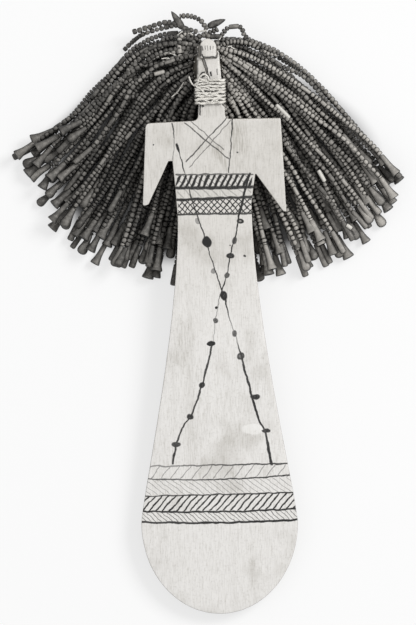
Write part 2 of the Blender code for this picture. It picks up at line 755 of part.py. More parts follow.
def build_doll():
    clear_scene()
    wood = plain_material("pale wood", (0.68, 0.66, 0.61), 0.62)
    linen = plain_material("linen cord", (0.62, 0.58, 0.50), 0.85)
    mud = plain_material("dried mud", (0.105, 0.098, 0.090), 0.78)
    lying = anchor("doll_lying", (AXIS_X, FOOT_Y, -EDGE_EASE * math.sin(TILT)), TILT)
    hair = anchor("hair_centre", (HAIR_X, HAIR_Y, 0.0))
    make_paddle(lying, wood)
    make_binding(lying, linen)
    make_hair_threads(lying, linen)
    heap = {}
    for label in FANS:
        make_fan(label, heap, hair, mud)
    make_crown_strands(heap, hair, mud)


build_doll()
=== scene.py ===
# The looks of a paddle doll: carved and painted wood, a linen cord at the neck, and hair of mud beads.
# It lies on its back on a pale floor, and the camera looks straight down on it. Metres, +Z up.
import json
import math
import random

import bmesh
import bpy
from mathutils import Matrix, Vector, noise
from mathutils.geometry import interpolate_bezier


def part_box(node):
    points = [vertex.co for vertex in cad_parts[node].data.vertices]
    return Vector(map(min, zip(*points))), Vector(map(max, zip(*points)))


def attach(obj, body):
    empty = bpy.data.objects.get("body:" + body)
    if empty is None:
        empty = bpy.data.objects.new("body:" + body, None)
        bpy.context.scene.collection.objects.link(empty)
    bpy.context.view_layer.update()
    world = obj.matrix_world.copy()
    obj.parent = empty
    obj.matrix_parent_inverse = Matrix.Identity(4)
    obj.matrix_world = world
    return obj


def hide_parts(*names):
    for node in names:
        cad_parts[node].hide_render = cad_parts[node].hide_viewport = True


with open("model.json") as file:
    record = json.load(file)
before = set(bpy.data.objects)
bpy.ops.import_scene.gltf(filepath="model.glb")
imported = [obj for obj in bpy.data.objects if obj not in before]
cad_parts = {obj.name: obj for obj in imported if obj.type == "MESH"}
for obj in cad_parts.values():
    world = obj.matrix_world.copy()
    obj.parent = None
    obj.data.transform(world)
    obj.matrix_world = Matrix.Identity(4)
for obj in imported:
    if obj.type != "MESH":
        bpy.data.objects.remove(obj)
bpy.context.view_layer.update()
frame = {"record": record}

mm = 0.001

# The sizes that the solids were made to, in metres.
board = {
    "length": 0.2304,
    "thickness": 0.0065,
    "edgeRound": 0.0004,
    "edgeEase": 0.000286,
    "headLength": 0.0156,
    "capLength": 0.0078,
    "capWidth": 0.0073,
    "faceWidth": 0.0094,
    "faceCut": 0.0013,
    "cheekCut": 0.0006,
    "headOffset": 0.0016,
    "boundNeckWidth": 0.0096,
    "boundNeckOffset": 0.0010,
    "boundNeckFoot": 0.026775,
    "neckStep": 0.0006,
    "neckWidth": 0.0107,
    "neckOffset": 0.0006,
    "neckFillet": 0.0030,
    "shoulderDown": 0.032175,
    "shoulderWidth": 0.0540,
    "leftFall": 0.0013,
    "leftShoulderRound": 0.0020,
    "armFlare": 0.0017,
    "chestWidth": 0.0330,
    "waistWidth": 0.0296,
    "bladeWidth": 0.0626,
    "bladeEndLength": 0.0364,
    "left": {
        "armLength": 0.0343, "armTip": 0.0023, "notchDown": 0.0165, "notchWidth": 0.0016, "waistDown": 0.0390,
    },
    "right": {
        "armLength": 0.0375, "armTip": 0.0013, "notchDown": 0.0222, "notchWidth": 0.0003, "waistDown": 0.0338,
    },
}


def lerp(start, end, share):
    return start + (end - start) * share


def ease(share):
    share = min(1.0, max(0.0, share))
    return share * share * (3 - 2 * share)


def within(value, low, high, soft):
    # 1 between low and high, easing to 0 over the soft distance outside them.
    return ease((value - low) / soft + 1) * ease((high - value) / soft + 1)


# The board lies tilted, and its middle line and foot are read from the frame.
boardLow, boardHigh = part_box("paddle")
backNormal = Vector(frame["record"]["mounts"][0]["axis"])
tilt = math.asin(backNormal.y)
axisX = (boardLow[0] + boardHigh[0]) / 2
footY = boardLow[1] + (board["thickness"] - board["edgeEase"]) * math.sin(tilt)
lyingMatrix = (
    Matrix.Translation((axisX, footY, -board["edgeEase"] * math.sin(tilt)))
    @ Matrix.Rotation(tilt, 4, "X")
)


def backHeight(down):
    # Height of the board's back above the floor at a distance from the crown.
    return (board["length"] - down) * math.sin(tilt)


def linearColour(code):
    # An sRGB hex colour as the linear values that shaders use.
    parts = [int(code[index:index + 2], 16) / 255 for index in (1, 3, 5)]
    linear = [part / 12.92 if part <= 0.04045 else ((part + 0.055) / 1.055) ** 2.4 for part in parts]
    return (*linear, 1.0)


def addNode(tree, kind, inputs=None, **settings):
    # Adds a node with its settings; an input is a plain value or another node's output.
    node = tree.nodes.new(kind)
    for name, value in settings.items():
        setattr(node, name, value)
    for key, value in (inputs or {}).items():
        if isinstance(value, bpy.types.NodeSocket):
            tree.links.new(value, node.inputs[key])
        else:
            node.inputs[key].default_value = value
    return node


def newMaterial(name):
    material = bpy.data.materials.new(name)
    material.use_nodes = True
    tree = material.node_tree
    return material, tree, tree.nodes["Principled BSDF"]


def compute(tree, operation, *values, clamp=False):
    # The result of one sum or comparison on numbers.
    inputs = dict(enumerate(values))
    return addNode(tree, "ShaderNodeMath", inputs, operation=operation, use_clamp=clamp).outputs[0]


def product(tree, result, *factors):
    for factor in factors:
        result = compute(tree, "MULTIPLY", result, factor)
    return result


def computeVector(tree, operation, *values):
    # The same on vectors; a dot product or a length comes back as a number.
    node = addNode(tree, "ShaderNodeVectorMath", dict(enumerate(values)), operation=operation)
    return node.outputs["Value" if operation in ("DOT_PRODUCT", "LENGTH") else "Vector"]


def softStep(tree, value, zeroAt, oneAt):
    # 0 to 1 as the value goes from one limit to the other, with soft ends.
    inputs = {"Value": value, "From Min": zeroAt, "From Max": oneAt}
    return addNode(tree, "ShaderNodeMapRange", inputs, interpolation_type="SMOOTHSTEP").outputs[0]


def noiseOn(tree, coordinates, scale, detail=2.0, roughness=0.5):
    inputs = {"Vector": coordinates, "Scale": scale, "Detail": detail, "Roughness": roughness}
    return addNode(tree, "ShaderNodeTexNoise", inputs).outputs["Fac"]


def mixColours(tree, share, first, second):
    mix = addNode(tree, "ShaderNodeMix", {"Factor": share}, data_type="RGBA")
    for socket, value in ((mix.inputs[6], first), (mix.inputs[7], second)):
        if isinstance(value, bpy.types.NodeSocket):
            tree.links.new(value, socket)
        else:
            socket.default_value = value
    return mix.outputs[2]


def newPiece(name, shape, material, smoothAngle=40):
    mesh = bpy.data.meshes.new(name)
    shape.to_mesh(mesh)
    shape.free()
    mesh.shade_smooth()
    mesh.set_sharp_from_angle(angle=math.radians(smoothAngle))
    mesh.materials.append(material)
    piece = bpy.data.objects.new(name, mesh)
    bpy.context.scene.collection.objects.link(piece)
    return piece


def rideWith(piece, slotName, *nodes):
    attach(piece, "root")
    if nodes:
        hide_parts(*nodes)


# Painted wood

woodLook = {
    "base": "#dfddda",
    "shade": "#a9a59d",
    "towardCrown": "#d2cfca",
    # The edge colour is painted shade on the board's sides.
    "edge": "#7d7972",
    "paleDent": "#f1f0ed",
    "ink": "#0d0c0b",
    "grainWidth": 0.35,
    "inkDepth": 2.3,
    "inkWear": (0.75, 0.35),
    "handWobble": 1.3,
    "roughness": 0.58,
    "ior": 1.5,
}

# Marks on the front, in millimetres: right of the board's middle line, then down from the crown.
# Each line lists its two ends, half width and strength. Four cross on the chest, and the rest are the
# straps at its left and right.
paintedLines = (
    ((-11.5, 33.9), (6.0, 48.5), 0.20, 0.55),
    ((-8.7, 33.5), (4.1, 44.9), 0.18, 0.42),
    ((5.5, 32.1), (-11.1, 49.3), 0.20, 0.62),
    ((7.3, 32.9), (-9.7, 51.5), 0.16, 0.40),
    ((-16.5, 33.6), (-15.5, 39.8), 0.18, 0.62),
    ((-15.5, 39.8), (-16.4, 48.9), 0.16, 0.30),
    ((7.8, 32.1), (7.2, 39.3), 0.20, 0.75),
    ((7.2, 39.3), (5.9, 54.0), 0.18, 0.66),
)

# Dark lines in the head and neck, where the wood is cut, split or dirty, in the same way: mostly painted
# shade in the slit, the split and under the ledge of the cap.
cutShadeLines = (
    ((-4.0, 6.5), (-3.1, 8.9), 0.20, 0.85),
    ((-3.1, 8.9), (-2.1, 11.8), 0.17, 1.00),
    ((-2.1, 11.8), (-1.1, 15.8), 0.17, 1.00),
    ((-5.2, 15.8), (-4.4, 14.1), 0.28, 0.85),
    ((-4.4, 14.1), (-3.0, 13.7), 0.24, 0.75),
    ((-4.5, 15.9), (-3.0, 14.9), 0.30, 0.70),
    ((-5.9, 4.0), (-5.4, 6.0), 0.30, 0.50),
    ((-6.2, 5.5), (-5.6, 7.6), 0.30, 0.50),
    ((-5.0, 6.6), (-4.3, 7.4), 0.30, 0.60),
    ((-0.5, 13.5), (-0.4, 15.2), 0.30, 0.80),
    ((1.8, 12.4), (1.9, 15.0), 0.22, 0.30),
    ((-3.8, 7.6), (1.6, 8.0), 0.24, 0.62),
    ((1.6, 8.0), (2.4, 5.9), 0.26, 0.70),
    ((-4.9, 3.0), (-4.5, 7.0), 0.34, 0.50),
    ((-4.3, 3.2), (-3.9, 5.2), 0.30, 0.45),
    ((-2.7, 3.0), (-2.8, 4.6), 0.18, 0.38),
    ((-1.7, 2.8), (-1.7, 5.0), 0.16, 0.32),
    ((-0.7, 3.0), (-0.7, 4.8), 0.18, 0.42),
    ((0.4, 3.1), (0.4, 4.5), 0.16, 0.28),
    ((-5.9, 8.6), (-6.0, 14.6), 0.30, 0.35),
    ((-5.2, 25.8), (-5.0, 32.4), 0.24, 0.62),
    ((-4.4, 26.6), (-3.9, 27.4), 0.40, 0.70),
    ((-5.9, 27.0), (-6.0, 30.0), 0.30, 0.40),
)

# Grey smudges on the front: right, down, half width, half height, strength.
smudges = (
    (-0.6, 42.6, 1.4, 1.8, 0.55),
    (1.2, 45.4, 1.6, 2.0, 0.80),
    (3.0, 48.0, 1.5, 2.0, 0.70),
    (2.8, 43.4, 1.5, 2.2, 0.45),
    (4.6, 51.0, 1.2, 2.0, 0.50),
    (9.5, 39.5, 3.6, 6.0, 0.75),
    (13.0, 48.0, 5.0, 6.0, 0.24),
    (0.0, 62.0, 15.0, 2.0, 0.26),
    (-13.2, 118.0, 4.0, 5.0, 0.30),
    (-14.6, 127.0, 3.6, 5.0, 0.34),
    (3.0, 53.0, 9.0, 3.5, 0.22),
    (-19.5, 38.0, 5.0, 4.0, 0.20),
    (22.5, 60.0, 3.5, 8.0, 0.20),
    (-22.5, 55.0, 3.5, 7.0, 0.22),
    (-9.0, 150.0, 4.0, 26.0, 0.14),
)
# Grey patches on the head and neck, in the same way: painted shade on the broken left side and in the hole
# above the cord, and smudges.
headShadeSmudges = (
    (-4.0, 15.0, 1.5, 1.4, 0.60),
    (-4.6, 10.5, 2.2, 6.5, 0.40),
    (-5.0, 4.6, 1.0, 2.6, 0.60),
    (0.0, 29.0, 6.0, 4.0, 0.18),
    (-5.4, 29.0, 1.2, 4.0, 0.40),
)


def readRoute(tree, share, stops):
    # A smooth number along a route, from (share, value) stops between 0 and 1.
    node = addNode(tree, "ShaderNodeFloatCurve", {"Value": share})
    points = node.mapping.curves[0].points
    while len(points) < len(stops):
        points.new(0.5, 0.5)
    for point, (where, value) in zip(points, stops):
        point.location = (where, value)
    node.mapping.update()
    return node.outputs[0]


def strokeMask(tree, place, line):
    # A straight stroke between two places.
    *ends, width, strength = line
    start, end = (Vector((*point, 0.0)) for point in ends)
    along = end - start
    across = Vector((along.y, -along.x, 0.0)).normalized()
    reach = computeVector(tree, "SUBTRACT", place, start)
    share = computeVector(tree, "DOT_PRODUCT", reach, along / along.length_squared)
    aside = computeVector(tree, "DOT_PRODUCT", reach, across)
    onLine = softStep(tree, compute(tree, "ABSOLUTE", aside), width * 1.7, width * 0.5)
    fromMiddle = compute(tree, "ABSOLUTE", compute(tree, "SUBTRACT", share, 0.5))
    inReach = softStep(tree, fromMiddle, 0.515, 0.485)
    return product(tree, onLine, inReach, strength)


# The chain of beads crosses once. Each route lists (down, right, half width, strength).
chainRoutes = {
    "fromLeft": (
        (42.0, -14.7, 0.34, 0.95),
        (44.2, -14.2, 0.42, 0.95),
        (46.4, -13.6, 0.13, 0.60),
        (48.6, -13.1, 0.18, 0.70),
        (51.6, -12.3, 0.24, 0.90),
        (54.6, -11.5, 0.15, 0.60),
        (64.8, -8.9, 0.20, 0.70),
        (76.8, -5.0, 0.22, 0.75),
        (90.0, -1.1, 0.22, 0.70),
        (101.0, 2.4, 0.26, 0.85),
        (104.4, 3.6, 0.30, 0.90),
        (110.4, 4.8, 0.20, 0.60),
        (118.4, 7.1, 0.16, 0.35),
        (127.2, 9.7, 0.34, 0.72),
        (140.0, 12.8, 0.36, 0.80),
        (153.3, 16.6, 0.40, 0.85),
        (157.6, 18.6, 0.36, 0.70),
        (167.3, 20.5, 0.50, 0.85),
        (171.6, 21.2, 0.34, 0.80),
    ),
    "fromRight": (
        (54.2, 14.3, 0.36, 0.85),
        (67.4, 10.7, 0.42, 0.90),
        (76.9, 8.7, 0.24, 0.85),
        (86.9, 6.0, 0.22, 0.85),
        (94.8, 4.5, 0.20, 0.60),
        (101.0, 2.4, 0.24, 0.80),
        (104.6, 1.4, 0.16, 0.40),
        (112.9, -0.4, 0.15, 0.28),
        (121.0, -1.4, 0.16, 0.22),
        (122.4, -1.7, 0.34, 0.70),
        (139.0, -6.3, 0.34, 0.75),
        (151.7, -11.1, 0.36, 0.72),
        (155.3, -14.0, 0.36, 0.72),
        (162.7, -16.9, 0.32, 0.72),
        (170.3, -18.4, 0.36, 0.82),
    ),
}

# Beads and dots: right, down, half width, half height, strength, hollow.
paintedDots = (
    (-6.8, 73.1, 1.0, 1.1, 0.30, 0.0),
    (-3.3, 81.5, 1.75, 2.0, 1.30, 0.0),
    (-0.7, 93.2, 1.0, 1.2, 0.34, 0.0),
    (3.15, 103.2, 1.25, 1.9, 1.00, 0.3),
    (10.3, 73.5, 1.45, 1.0, 0.90, 0.6),
    (7.7, 81.2, 1.05, 1.25, 0.62, 0.0),
    (6.1, 87.1, 1.60, 1.05, 0.85, 0.2),
    (4.45, 95.0, 1.05, 1.2, 0.60, 0.0),
    (0.05, 108.0, 0.50, 0.50, 0.95, 0.0),
    (-0.3, 113.1, 0.95, 0.90, 0.62, 0.0),
    (-2.2, 122.2, 1.70, 0.95, 0.92, 0.0),
    (7.05, 118.4, 0.95, 1.30, 0.55, 0.0),
    (9.5, 127.4, 1.40, 1.35, 0.66, 0.3),
    (15.0, 143.8, 1.90, 1.10, 0.80, 0.0),
    (19.2, 157.6, 1.70, 0.85, 0.75, 0.0),
    (-6.3, 139.0, 1.20, 1.20, 0.80, 0.0),
    (-11.2, 151.5, 1.40, 1.15, 0.78, 0.0),
    (-16.9, 162.6, 1.90, 1.00, 0.68, 0.0),
    (9.7, 46.1, 0.35, 0.35, 0.90, 0.0),
    (-24.1, 42.5, 0.32, 0.32, 0.65, 0.0),
    (11.8, 87.2, 0.45, 0.45, 0.70, 0.0),
    (6.2, 82.9, 0.40, 0.30, 0.35, 0.0),
)


def chainMask(tree, right, down, stops):
    # A winding stroke whose place, width and strength are read at each height down the board. Its
    # places lie between the span to the left of the middle line and the span to the right.
    top, foot = stops[0][0], stops[-1][0]
    span = 32.0
    share = addNode(
        tree, "ShaderNodeMapRange", {"Value": down, "From Min": top, "From Max": foot}
    ).outputs[0]
    shares = [(stop[0] - top) / (foot - top) for stop in stops]
    course = readRoute(tree, share, [(at, stop[1] / (2 * span) + 0.5) for at, stop in zip(shares, stops)])
    width = readRoute(tree, share, [(at, stop[2]) for at, stop in zip(shares, stops)])
    strength = readRoute(tree, share, [(at, stop[3]) for at, stop in zip(shares, stops)])
    middle = product(tree, compute(tree, "SUBTRACT", course, 0.5), 2 * span)
    aside = compute(tree, "ABSOLUTE", compute(tree, "SUBTRACT", right, middle))
    onLine = softStep(tree, compute(tree, "DIVIDE", aside, width), 1.5, 0.7)
    fromTop = softStep(tree, down, top - 0.4, top + 0.3)
    toFoot = softStep(tree, down, foot + 0.4, foot - 0.3)
    return product(tree, onLine, strength, fromTop, toFoot)


def dotMask(tree, place, dot, softness=0.16):
    # An oval mark, hollow where the brush left its middle bare.
    right, down, halfWidth, halfHeight, strength, hollow = dot
    offset = computeVector(tree, "SUBTRACT", place, Vector((right, down, 0.0)))
    scaled = computeVector(tree, "MULTIPLY", offset, Vector((1 / halfWidth, 1 / halfHeight, 0.0)))
    away = computeVector(tree, "LENGTH", scaled)
    mask = product(tree, softStep(tree, away, 1 + softness, max(0.0, 1 - softness)), strength)
    if hollow:
        inside = product(tree, softStep(tree, away, 0.62, 0.30), -hollow)
        mask = product(tree, mask, compute(tree, "ADD", inside, 1.0))
    return mask


# Lines across the body: down at the middle, slope, sag, half width, strength at left and right.
bandLines = (
    {"down": 54.6, "slope": 0.006, "sag": 0.0, "width": 0.26, "strength": (0.55, 0.50), "half": 15.6},
    {"down": 59.9, "slope": 0.0, "sag": 0.0, "width": 0.55, "strength": (0.80, 0.80), "half": 15.6},
    {"down": 64.2, "slope": -0.024, "sag": 0.0, "width": 0.48, "strength": (0.90, 0.72), "half": 15.2},
    {"down": 70.4, "slope": 0.0, "sag": 0.0, "width": 0.36, "strength": (0.70, 0.62), "half": 15.0},
    {"down": 171.0, "slope": -0.004, "sag": 0.0, "width": 0.26, "strength": (0.35, 0.72), "half": 40.0},
    {"down": 176.2, "slope": -0.012, "sag": 0.0011, "width": 0.24, "strength": (0.55, 0.80), "half": 40.0},
    {"down": 182.8, "slope": -0.008, "sag": 0.0, "width": 0.24, "strength": (0.60, 0.85), "half": 40.0},
    {"down": 189.4, "slope": 0.0, "sag": 0.0007, "width": 0.30, "strength": (0.90, 0.90), "half": 40.0},
    {"down": 193.8, "slope": -0.001, "sag": 0.0007, "width": 0.36, "strength": (0.75, 0.95), "half": 40.0},
)

# Slanting strokes between two lines: lean is how far a stroke runs right for each step up.
hatchings = (
    {"top": 54.8, "foot": 59.9, "pitch": 2.30, "lean": 0.50, "width": 0.50, "strength": 0.92, "half": 15.2},
    {"top": 54.8, "foot": 59.9, "pitch": 3.10, "lean": -0.90, "width": 0.17, "strength": 0.50, "half": 14.8},
    {"top": 60.2, "foot": 64.0, "pitch": 3.60, "lean": -1.05, "width": 0.34, "strength": 0.16, "half": 14.8},
    {"top": 64.4, "foot": 70.3, "pitch": 2.35, "lean": 0.95, "width": 0.26, "strength": 0.85, "half": 14.6},
    {"top": 64.4, "foot": 70.3, "pitch": 2.35, "lean": -0.95, "width": 0.26, "strength": 0.85, "half": 14.6},
    {"top": 171.0, "foot": 176.2, "pitch": 4.20, "lean": 0.80, "width": 0.20, "strength": 0.32, "half": 40.0},
    {"top": 176.6, "foot": 182.6, "pitch": 2.7, "lean": -1.3, "width": 0.18, "strength": 0.28, "half": 40.0},
    {"top": 182.8, "foot": 189.2, "pitch": 2.75, "lean": 0.92, "width": 0.36, "strength": 0.90, "half": 40.0},
    {"top": 189.6, "foot": 193.8, "pitch": 2.05, "lean": -1.1, "width": 0.18, "strength": 0.5, "half": 40.0},
)


def bandLineMask(tree, right, down, line):
    # A line across the body that may slope, and sag towards its ends.
    sagged = product(tree, right, right, -line["sag"])
    sloped = product(tree, right, line["slope"])
    course = compute(tree, "ADD", compute(tree, "ADD", sagged, sloped), line["down"] + line["sag"] * 500)
    aside = compute(tree, "ABSOLUTE", compute(tree, "SUBTRACT", down, course))
    onLine = softStep(tree, aside, line["width"] * 1.6, line["width"] * 0.6)
    inReach = softStep(tree, compute(tree, "ABSOLUTE", right), line["half"] + 0.2, line["half"] - 0.2)
    atLeft, atRight = line["strength"]
    fade = {"Value": right, "From Min": -20.0, "From Max": 20.0, "To Min": atLeft, "To Max": atRight}
    strength = addNode(tree, "ShaderNodeMapRange", fade).outputs[0]
    return product(tree, onLine, inReach, strength)


def hatchMask(tree, right, down, unevenness, hatch):
    # Even slanting strokes between a top and a foot.
    slid = compute(tree, "MULTIPLY_ADD", down, hatch["lean"], right)
    slid = compute(tree, "MULTIPLY_ADD", unevenness, 1.1, slid)
    phase = compute(tree, "PINGPONG", slid, hatch["pitch"] / 2)
    onStroke = softStep(tree, phase, hatch["width"] * 1.5, hatch["width"] * 0.55)
    fromTop = softStep(tree, down, hatch["top"] - 0.3, hatch["top"] + 0.2)
    toFoot = softStep(tree, down, hatch["foot"] + 0.3, hatch["foot"] - 0.2)
    inReach = softStep(tree, compute(tree, "ABSOLUTE", right), hatch["half"] + 0.2, hatch["half"] - 0.2)
    return product(tree, onStroke, fromTop, toFoot, inReach, hatch["strength"])


def dryWood(name, marks):
    # Sycamore fig board, scraped smooth by hand: pale and dry, with a faint straight grain. The ink is
    # soot brushed on by hand, so it is matt, uneven along a stroke and broken where the wood is worn.
    material, tree, shader = newMaterial(name)
    where = addNode(tree, "ShaderNodeTexCoord").outputs["Object"]
    inMillimetres = computeVector(tree, "MULTIPLY", where, (1000.0, 1000.0, 1000.0))
    axes = addNode(tree, "ShaderNodeSeparateXYZ", {0: inMillimetres})
    wobble = addNode(tree, "ShaderNodeTexNoise", {"Vector": inMillimetres, "Scale": 0.28, "Detail": 2.0})
    wobbleAxes = addNode(tree, "ShaderNodeSeparateXYZ", {0: wobble.outputs["Color"]})
    right = compute(tree, "SUBTRACT", axes.outputs[0], axisX / mm)
    down = compute(tree, "DIVIDE", compute(tree, "SUBTRACT", axes.outputs[1], footY / mm), -math.cos(tilt))
    down = compute(tree, "ADD", down, board["length"] / mm)
    strayRight = compute(tree, "SUBTRACT", wobbleAxes.outputs[0], 0.5)
    right = compute(tree, "MULTIPLY_ADD", strayRight, woodLook["handWobble"], right)
    strayDown = compute(tree, "SUBTRACT", wobbleAxes.outputs[1], 0.5)
    down = compute(tree, "MULTIPLY_ADD", strayDown, woodLook["handWobble"], down)
    place = addNode(tree, "ShaderNodeCombineXYZ", {0: right, 1: down}).outputs[0]
    unevenness = compute(tree, "SUBTRACT", noiseOn(tree, inMillimetres, 0.13, 1.0), 0.5)
    ink = 0.0
    for line in marks.get("lines", ()):
        ink = compute(tree, "MAXIMUM", ink, strokeMask(tree, place, line))
    for stops in marks.get("chains", ()):
        ink = compute(tree, "MAXIMUM", ink, chainMask(tree, right, down, stops))
    for dot in marks.get("dots", ()):
        ink = compute(tree, "MAXIMUM", ink, dotMask(tree, place, dot))
    for line in marks.get("bands", ()):
        ink = compute(tree, "MAXIMUM", ink, bandLineMask(tree, right, down, line))
    for hatch in marks.get("hatchings", ()):
        ink = compute(tree, "MAXIMUM", ink, hatchMask(tree, right, down, unevenness, hatch))
    inkBreak = softStep(tree, noiseOn(tree, inMillimetres, 2.6, 3.0, 0.6), 0.30, 0.56)
    kept, worn = woodLook["inkWear"]
    inkLeft = compute(tree, "MULTIPLY", ink, compute(tree, "MULTIPLY_ADD", inkBreak, worn, kept), clamp=True)
    bare = compute(tree, "SUBTRACT", 1.0, inkLeft)
    inkCover = compute(tree, "SUBTRACT", 1.0, compute(tree, "POWER", bare, woodLook["inkDepth"]))
    facing = addNode(tree, "ShaderNodeNewGeometry").outputs["Normal"]
    upward = addNode(tree, "ShaderNodeSeparateXYZ", {0: facing}).outputs[2]
    inkCover = product(tree, inkCover, softStep(tree, upward, 0.3, 0.7))
    # Painted shade: faces that turn aside from the front take the edge colour, darkening the board's sides.
    paintedEdgeShade = softStep(tree, upward, 0.95, 0.35)

    stretched = computeVector(tree, "MULTIPLY", inMillimetres, (1.0, 0.05, 1.0))
    grain = noiseOn(tree, stretched, 1 / woodLook["grainWidth"], 4.0, 0.65)
    broad = noiseOn(tree, stretched, 0.11, 2.0)
    blotches = noiseOn(tree, inMillimetres, 0.055, 3.0)
    shade = product(tree, softStep(tree, grain, 0.42, 0.74), 0.42)
    shade = compute(tree, "ADD", shade, product(tree, softStep(tree, broad, 0.5, 0.8), 0.22))
    shade = compute(tree, "ADD", shade, product(tree, softStep(tree, blotches, 0.52, 0.75), 0.40))
    # Darker towards the crown, paler towards the foot.
    towardCrown = softStep(tree, down, 125.0, 60.0)
    clean = mixColours(tree, towardCrown, linearColour(woodLook["base"]), linearColour(woodLook["towardCrown"]))
    streaky = softStep(tree, grain, 0.2, 0.7)
    for smudge in marks.get("smudges", ()):
        shade = compute(tree, "MULTIPLY_ADD", dotMask(tree, place, (*smudge, 0.0), 0.9), streaky, shade)
    specks = softStep(tree, noiseOn(tree, inMillimetres, 1.1, 3.0, 0.7), 0.48, 0.80)
    shade = compute(tree, "MULTIPLY_ADD", specks, 0.38, shade)
    wood = mixColours(tree, compute(tree, "MINIMUM", shade, 1.0), clean, linearColour(woodLook["shade"]))
    for dent in marks.get("dents", ()):
        wood = mixColours(tree, dotMask(tree, place, dent), wood, linearColour(woodLook["paleDent"]))
    wood = mixColours(tree, paintedEdgeShade, wood, linearColour(woodLook["edge"]))
    colour = mixColours(tree, inkCover, wood, linearColour(woodLook["ink"]))
    tree.links.new(colour, shader.inputs["Base Color"])
    height = compute(tree, "MULTIPLY_ADD", grain, 0.6, product(tree, inkCover, -0.2))
    bump = addNode(tree, "ShaderNodeBump", {"Strength": 0.25, "Distance": 0.0001, "Height": height})
    tree.links.new(bump.outputs[0], shader.inputs["Normal"])
    shader.inputs["Roughness"].default_value = woodLook["roughness"]
    shader.inputs["IOR"].default_value = woodLook["ior"]
    return material


bodyMarks = {
    "lines": paintedLines,
    "chains": chainRoutes.values(),
    "dots": paintedDots,
    "bands": bandLines,
    "hatchings": hatchings,
    "smudges": smudges,
    "dents": ((14.0, 156.8, 4.2, 2.1, 0.45, 0.0),),
}
headMarks = {"lines": cutShadeLines, "smudges": headShadeSmudges}


def quadratic(start, middle, end, share):
    return start.lerp(middle, share).lerp(middle.lerp(end, share), share)


def roundedCorner(before, corner, after, radius, steps=6):
    # Points of the arc that rounds a corner, limited by the two sides it joins.
    before, corner, after = Vector(before), Vector(corner), Vector(after)
    inward, outward = before - corner, after - corner
    trim = min(radius / math.tan(inward.angle(outward) / 2), inward.length * 0.45, outward.length * 0.45)
    start = corner + inward.normalized() * trim
    end = corner + outward.normalized() * trim
    return [quadratic(start, corner, end, step / steps) for step in range(steps + 1)]


paddleDetail = {
    "sideSteps": 40,
    "endSteps": 44,
    "cutSpacing": 2.6 * mm,
    "headCutSpacing": 0.34 * mm,
    "handCarving": 0.09 * mm,
    "headWoodFoot": 31.2 * mm,
    "striationDepth": 0.16 * mm,
    "striationPitch": 0.95 * mm,
    "brokenDepth": 0.8 * mm,
}


def headSide(side):
    # The head's outline on one side, from the crown to the neck, as (right, down) pairs. Beside the
    # domed cap the block below it shows, as wide as the face.
    capHalf = board["capWidth"] / 2
    faceHalf = board["faceWidth"] / 2
    ledge = board["capLength"]
    blockTop = ledge * (0.34 if side < 0 else 0.66)
    crown = [(0.20, 0.015), (0.50, 0.07), (0.77, 0.22), (0.90, 0.34)]
    if side > 0:
        crown += [(0.97, 0.48), (1.01, 0.62)]
    points = [Vector((side * capHalf * across - board["headOffset"], ledge * down)) for across, down in crown]
    points.append(Vector((side * faceHalf * 0.93 - board["headOffset"], blockTop + 0.5 * mm)))
    points.append(Vector((side * faceHalf * 0.97 - board["headOffset"], ledge * 1.03)))
    points.append(Vector((side * faceHalf * 1.04 - board["headOffset"] * 0.85, board["headLength"])))
    return points


def boardSide(side):
    # The board's outline on one side, from the neck to the foot, as (right, down) pairs.
    arm = board["left"] if side < 0 else board["right"]
    fall = board["leftFall"] if side < 0 else 0.0
    shoulderRound = board["leftShoulderRound"] if side < 0 else board["edgeRound"] * 1.5
    boundX = side * board["boundNeckWidth"] / 2 - board["boundNeckOffset"]
    neckX = side * board["neckWidth"] / 2 - board["neckOffset"]
    shoulderX = side * board["shoulderWidth"] / 2
    tipX = shoulderX + side * board["armFlare"]
    tipDown = board["shoulderDown"] + arm["armLength"]
    notchDown = board["shoulderDown"] + arm["notchDown"]
    chestX = side * board["chestWidth"] / 2
    notchX = chestX + side * arm["notchWidth"]
    waistX = side * board["waistWidth"] / 2
    waistDown = board["shoulderDown"] + arm["waistDown"]
    widestDown = board["length"] - board["bladeEndLength"]
    neckTop = (neckX, board["boundNeckFoot"] + board["neckStep"])
    neckFoot = (neckX, board["shoulderDown"] + fall * 0.4)
    shoulder = (shoulderX, board["shoulderDown"] + fall)
    tipOut = (tipX, tipDown)
    tipIn = (tipX - side * arm["armTip"], tipDown - arm["armTip"] * 0.25)
    notchOut = (notchX, notchDown)
    notchIn = (chestX, notchDown)
    points = [
        Vector((boundX, board["headLength"] + 1.35 * mm)),
        Vector((boundX, board["boundNeckFoot"])),
        Vector(neckTop),
    ]
    points += roundedCorner(neckTop, neckFoot, shoulder, board["neckFillet"])
    points += roundedCorner(neckFoot, shoulder, tipOut, shoulderRound)
    points += roundedCorner(shoulder, tipOut, tipIn, arm["armTip"] * 0.4)
    points += roundedCorner(tipOut, tipIn, notchOut, arm["armTip"] * 0.4)
    points += [Vector(notchOut), Vector(notchIn)]
    chest = Vector((lerp(chestX, waistX, 0.6), (notchDown + waistDown) / 2))
    points += [quadratic(Vector(notchIn), chest, Vector((waistX, waistDown)), share) for share in (0.3, 0.6)]
    run = widestDown - waistDown
    widestX = side * board["bladeWidth"] / 2
    flare = interpolate_bezier(
        Vector((waistX, waistDown)),
        Vector((waistX, waistDown + run * 0.36)),
        Vector((widestX, widestDown - run * 0.07)),
        Vector((widestX, widestDown)),
        paddleDetail["sideSteps"],
    )
    points += [Vector(point[:2]) for point in flare]
    for step in range(1, paddleDetail["endSteps"]):
        angle = math.pi / 2 * step / paddleDetail["endSteps"]
        down = widestDown + board["bladeEndLength"] * math.sin(angle)
        points.append(Vector((widestX * math.cos(angle), down)))
    return points


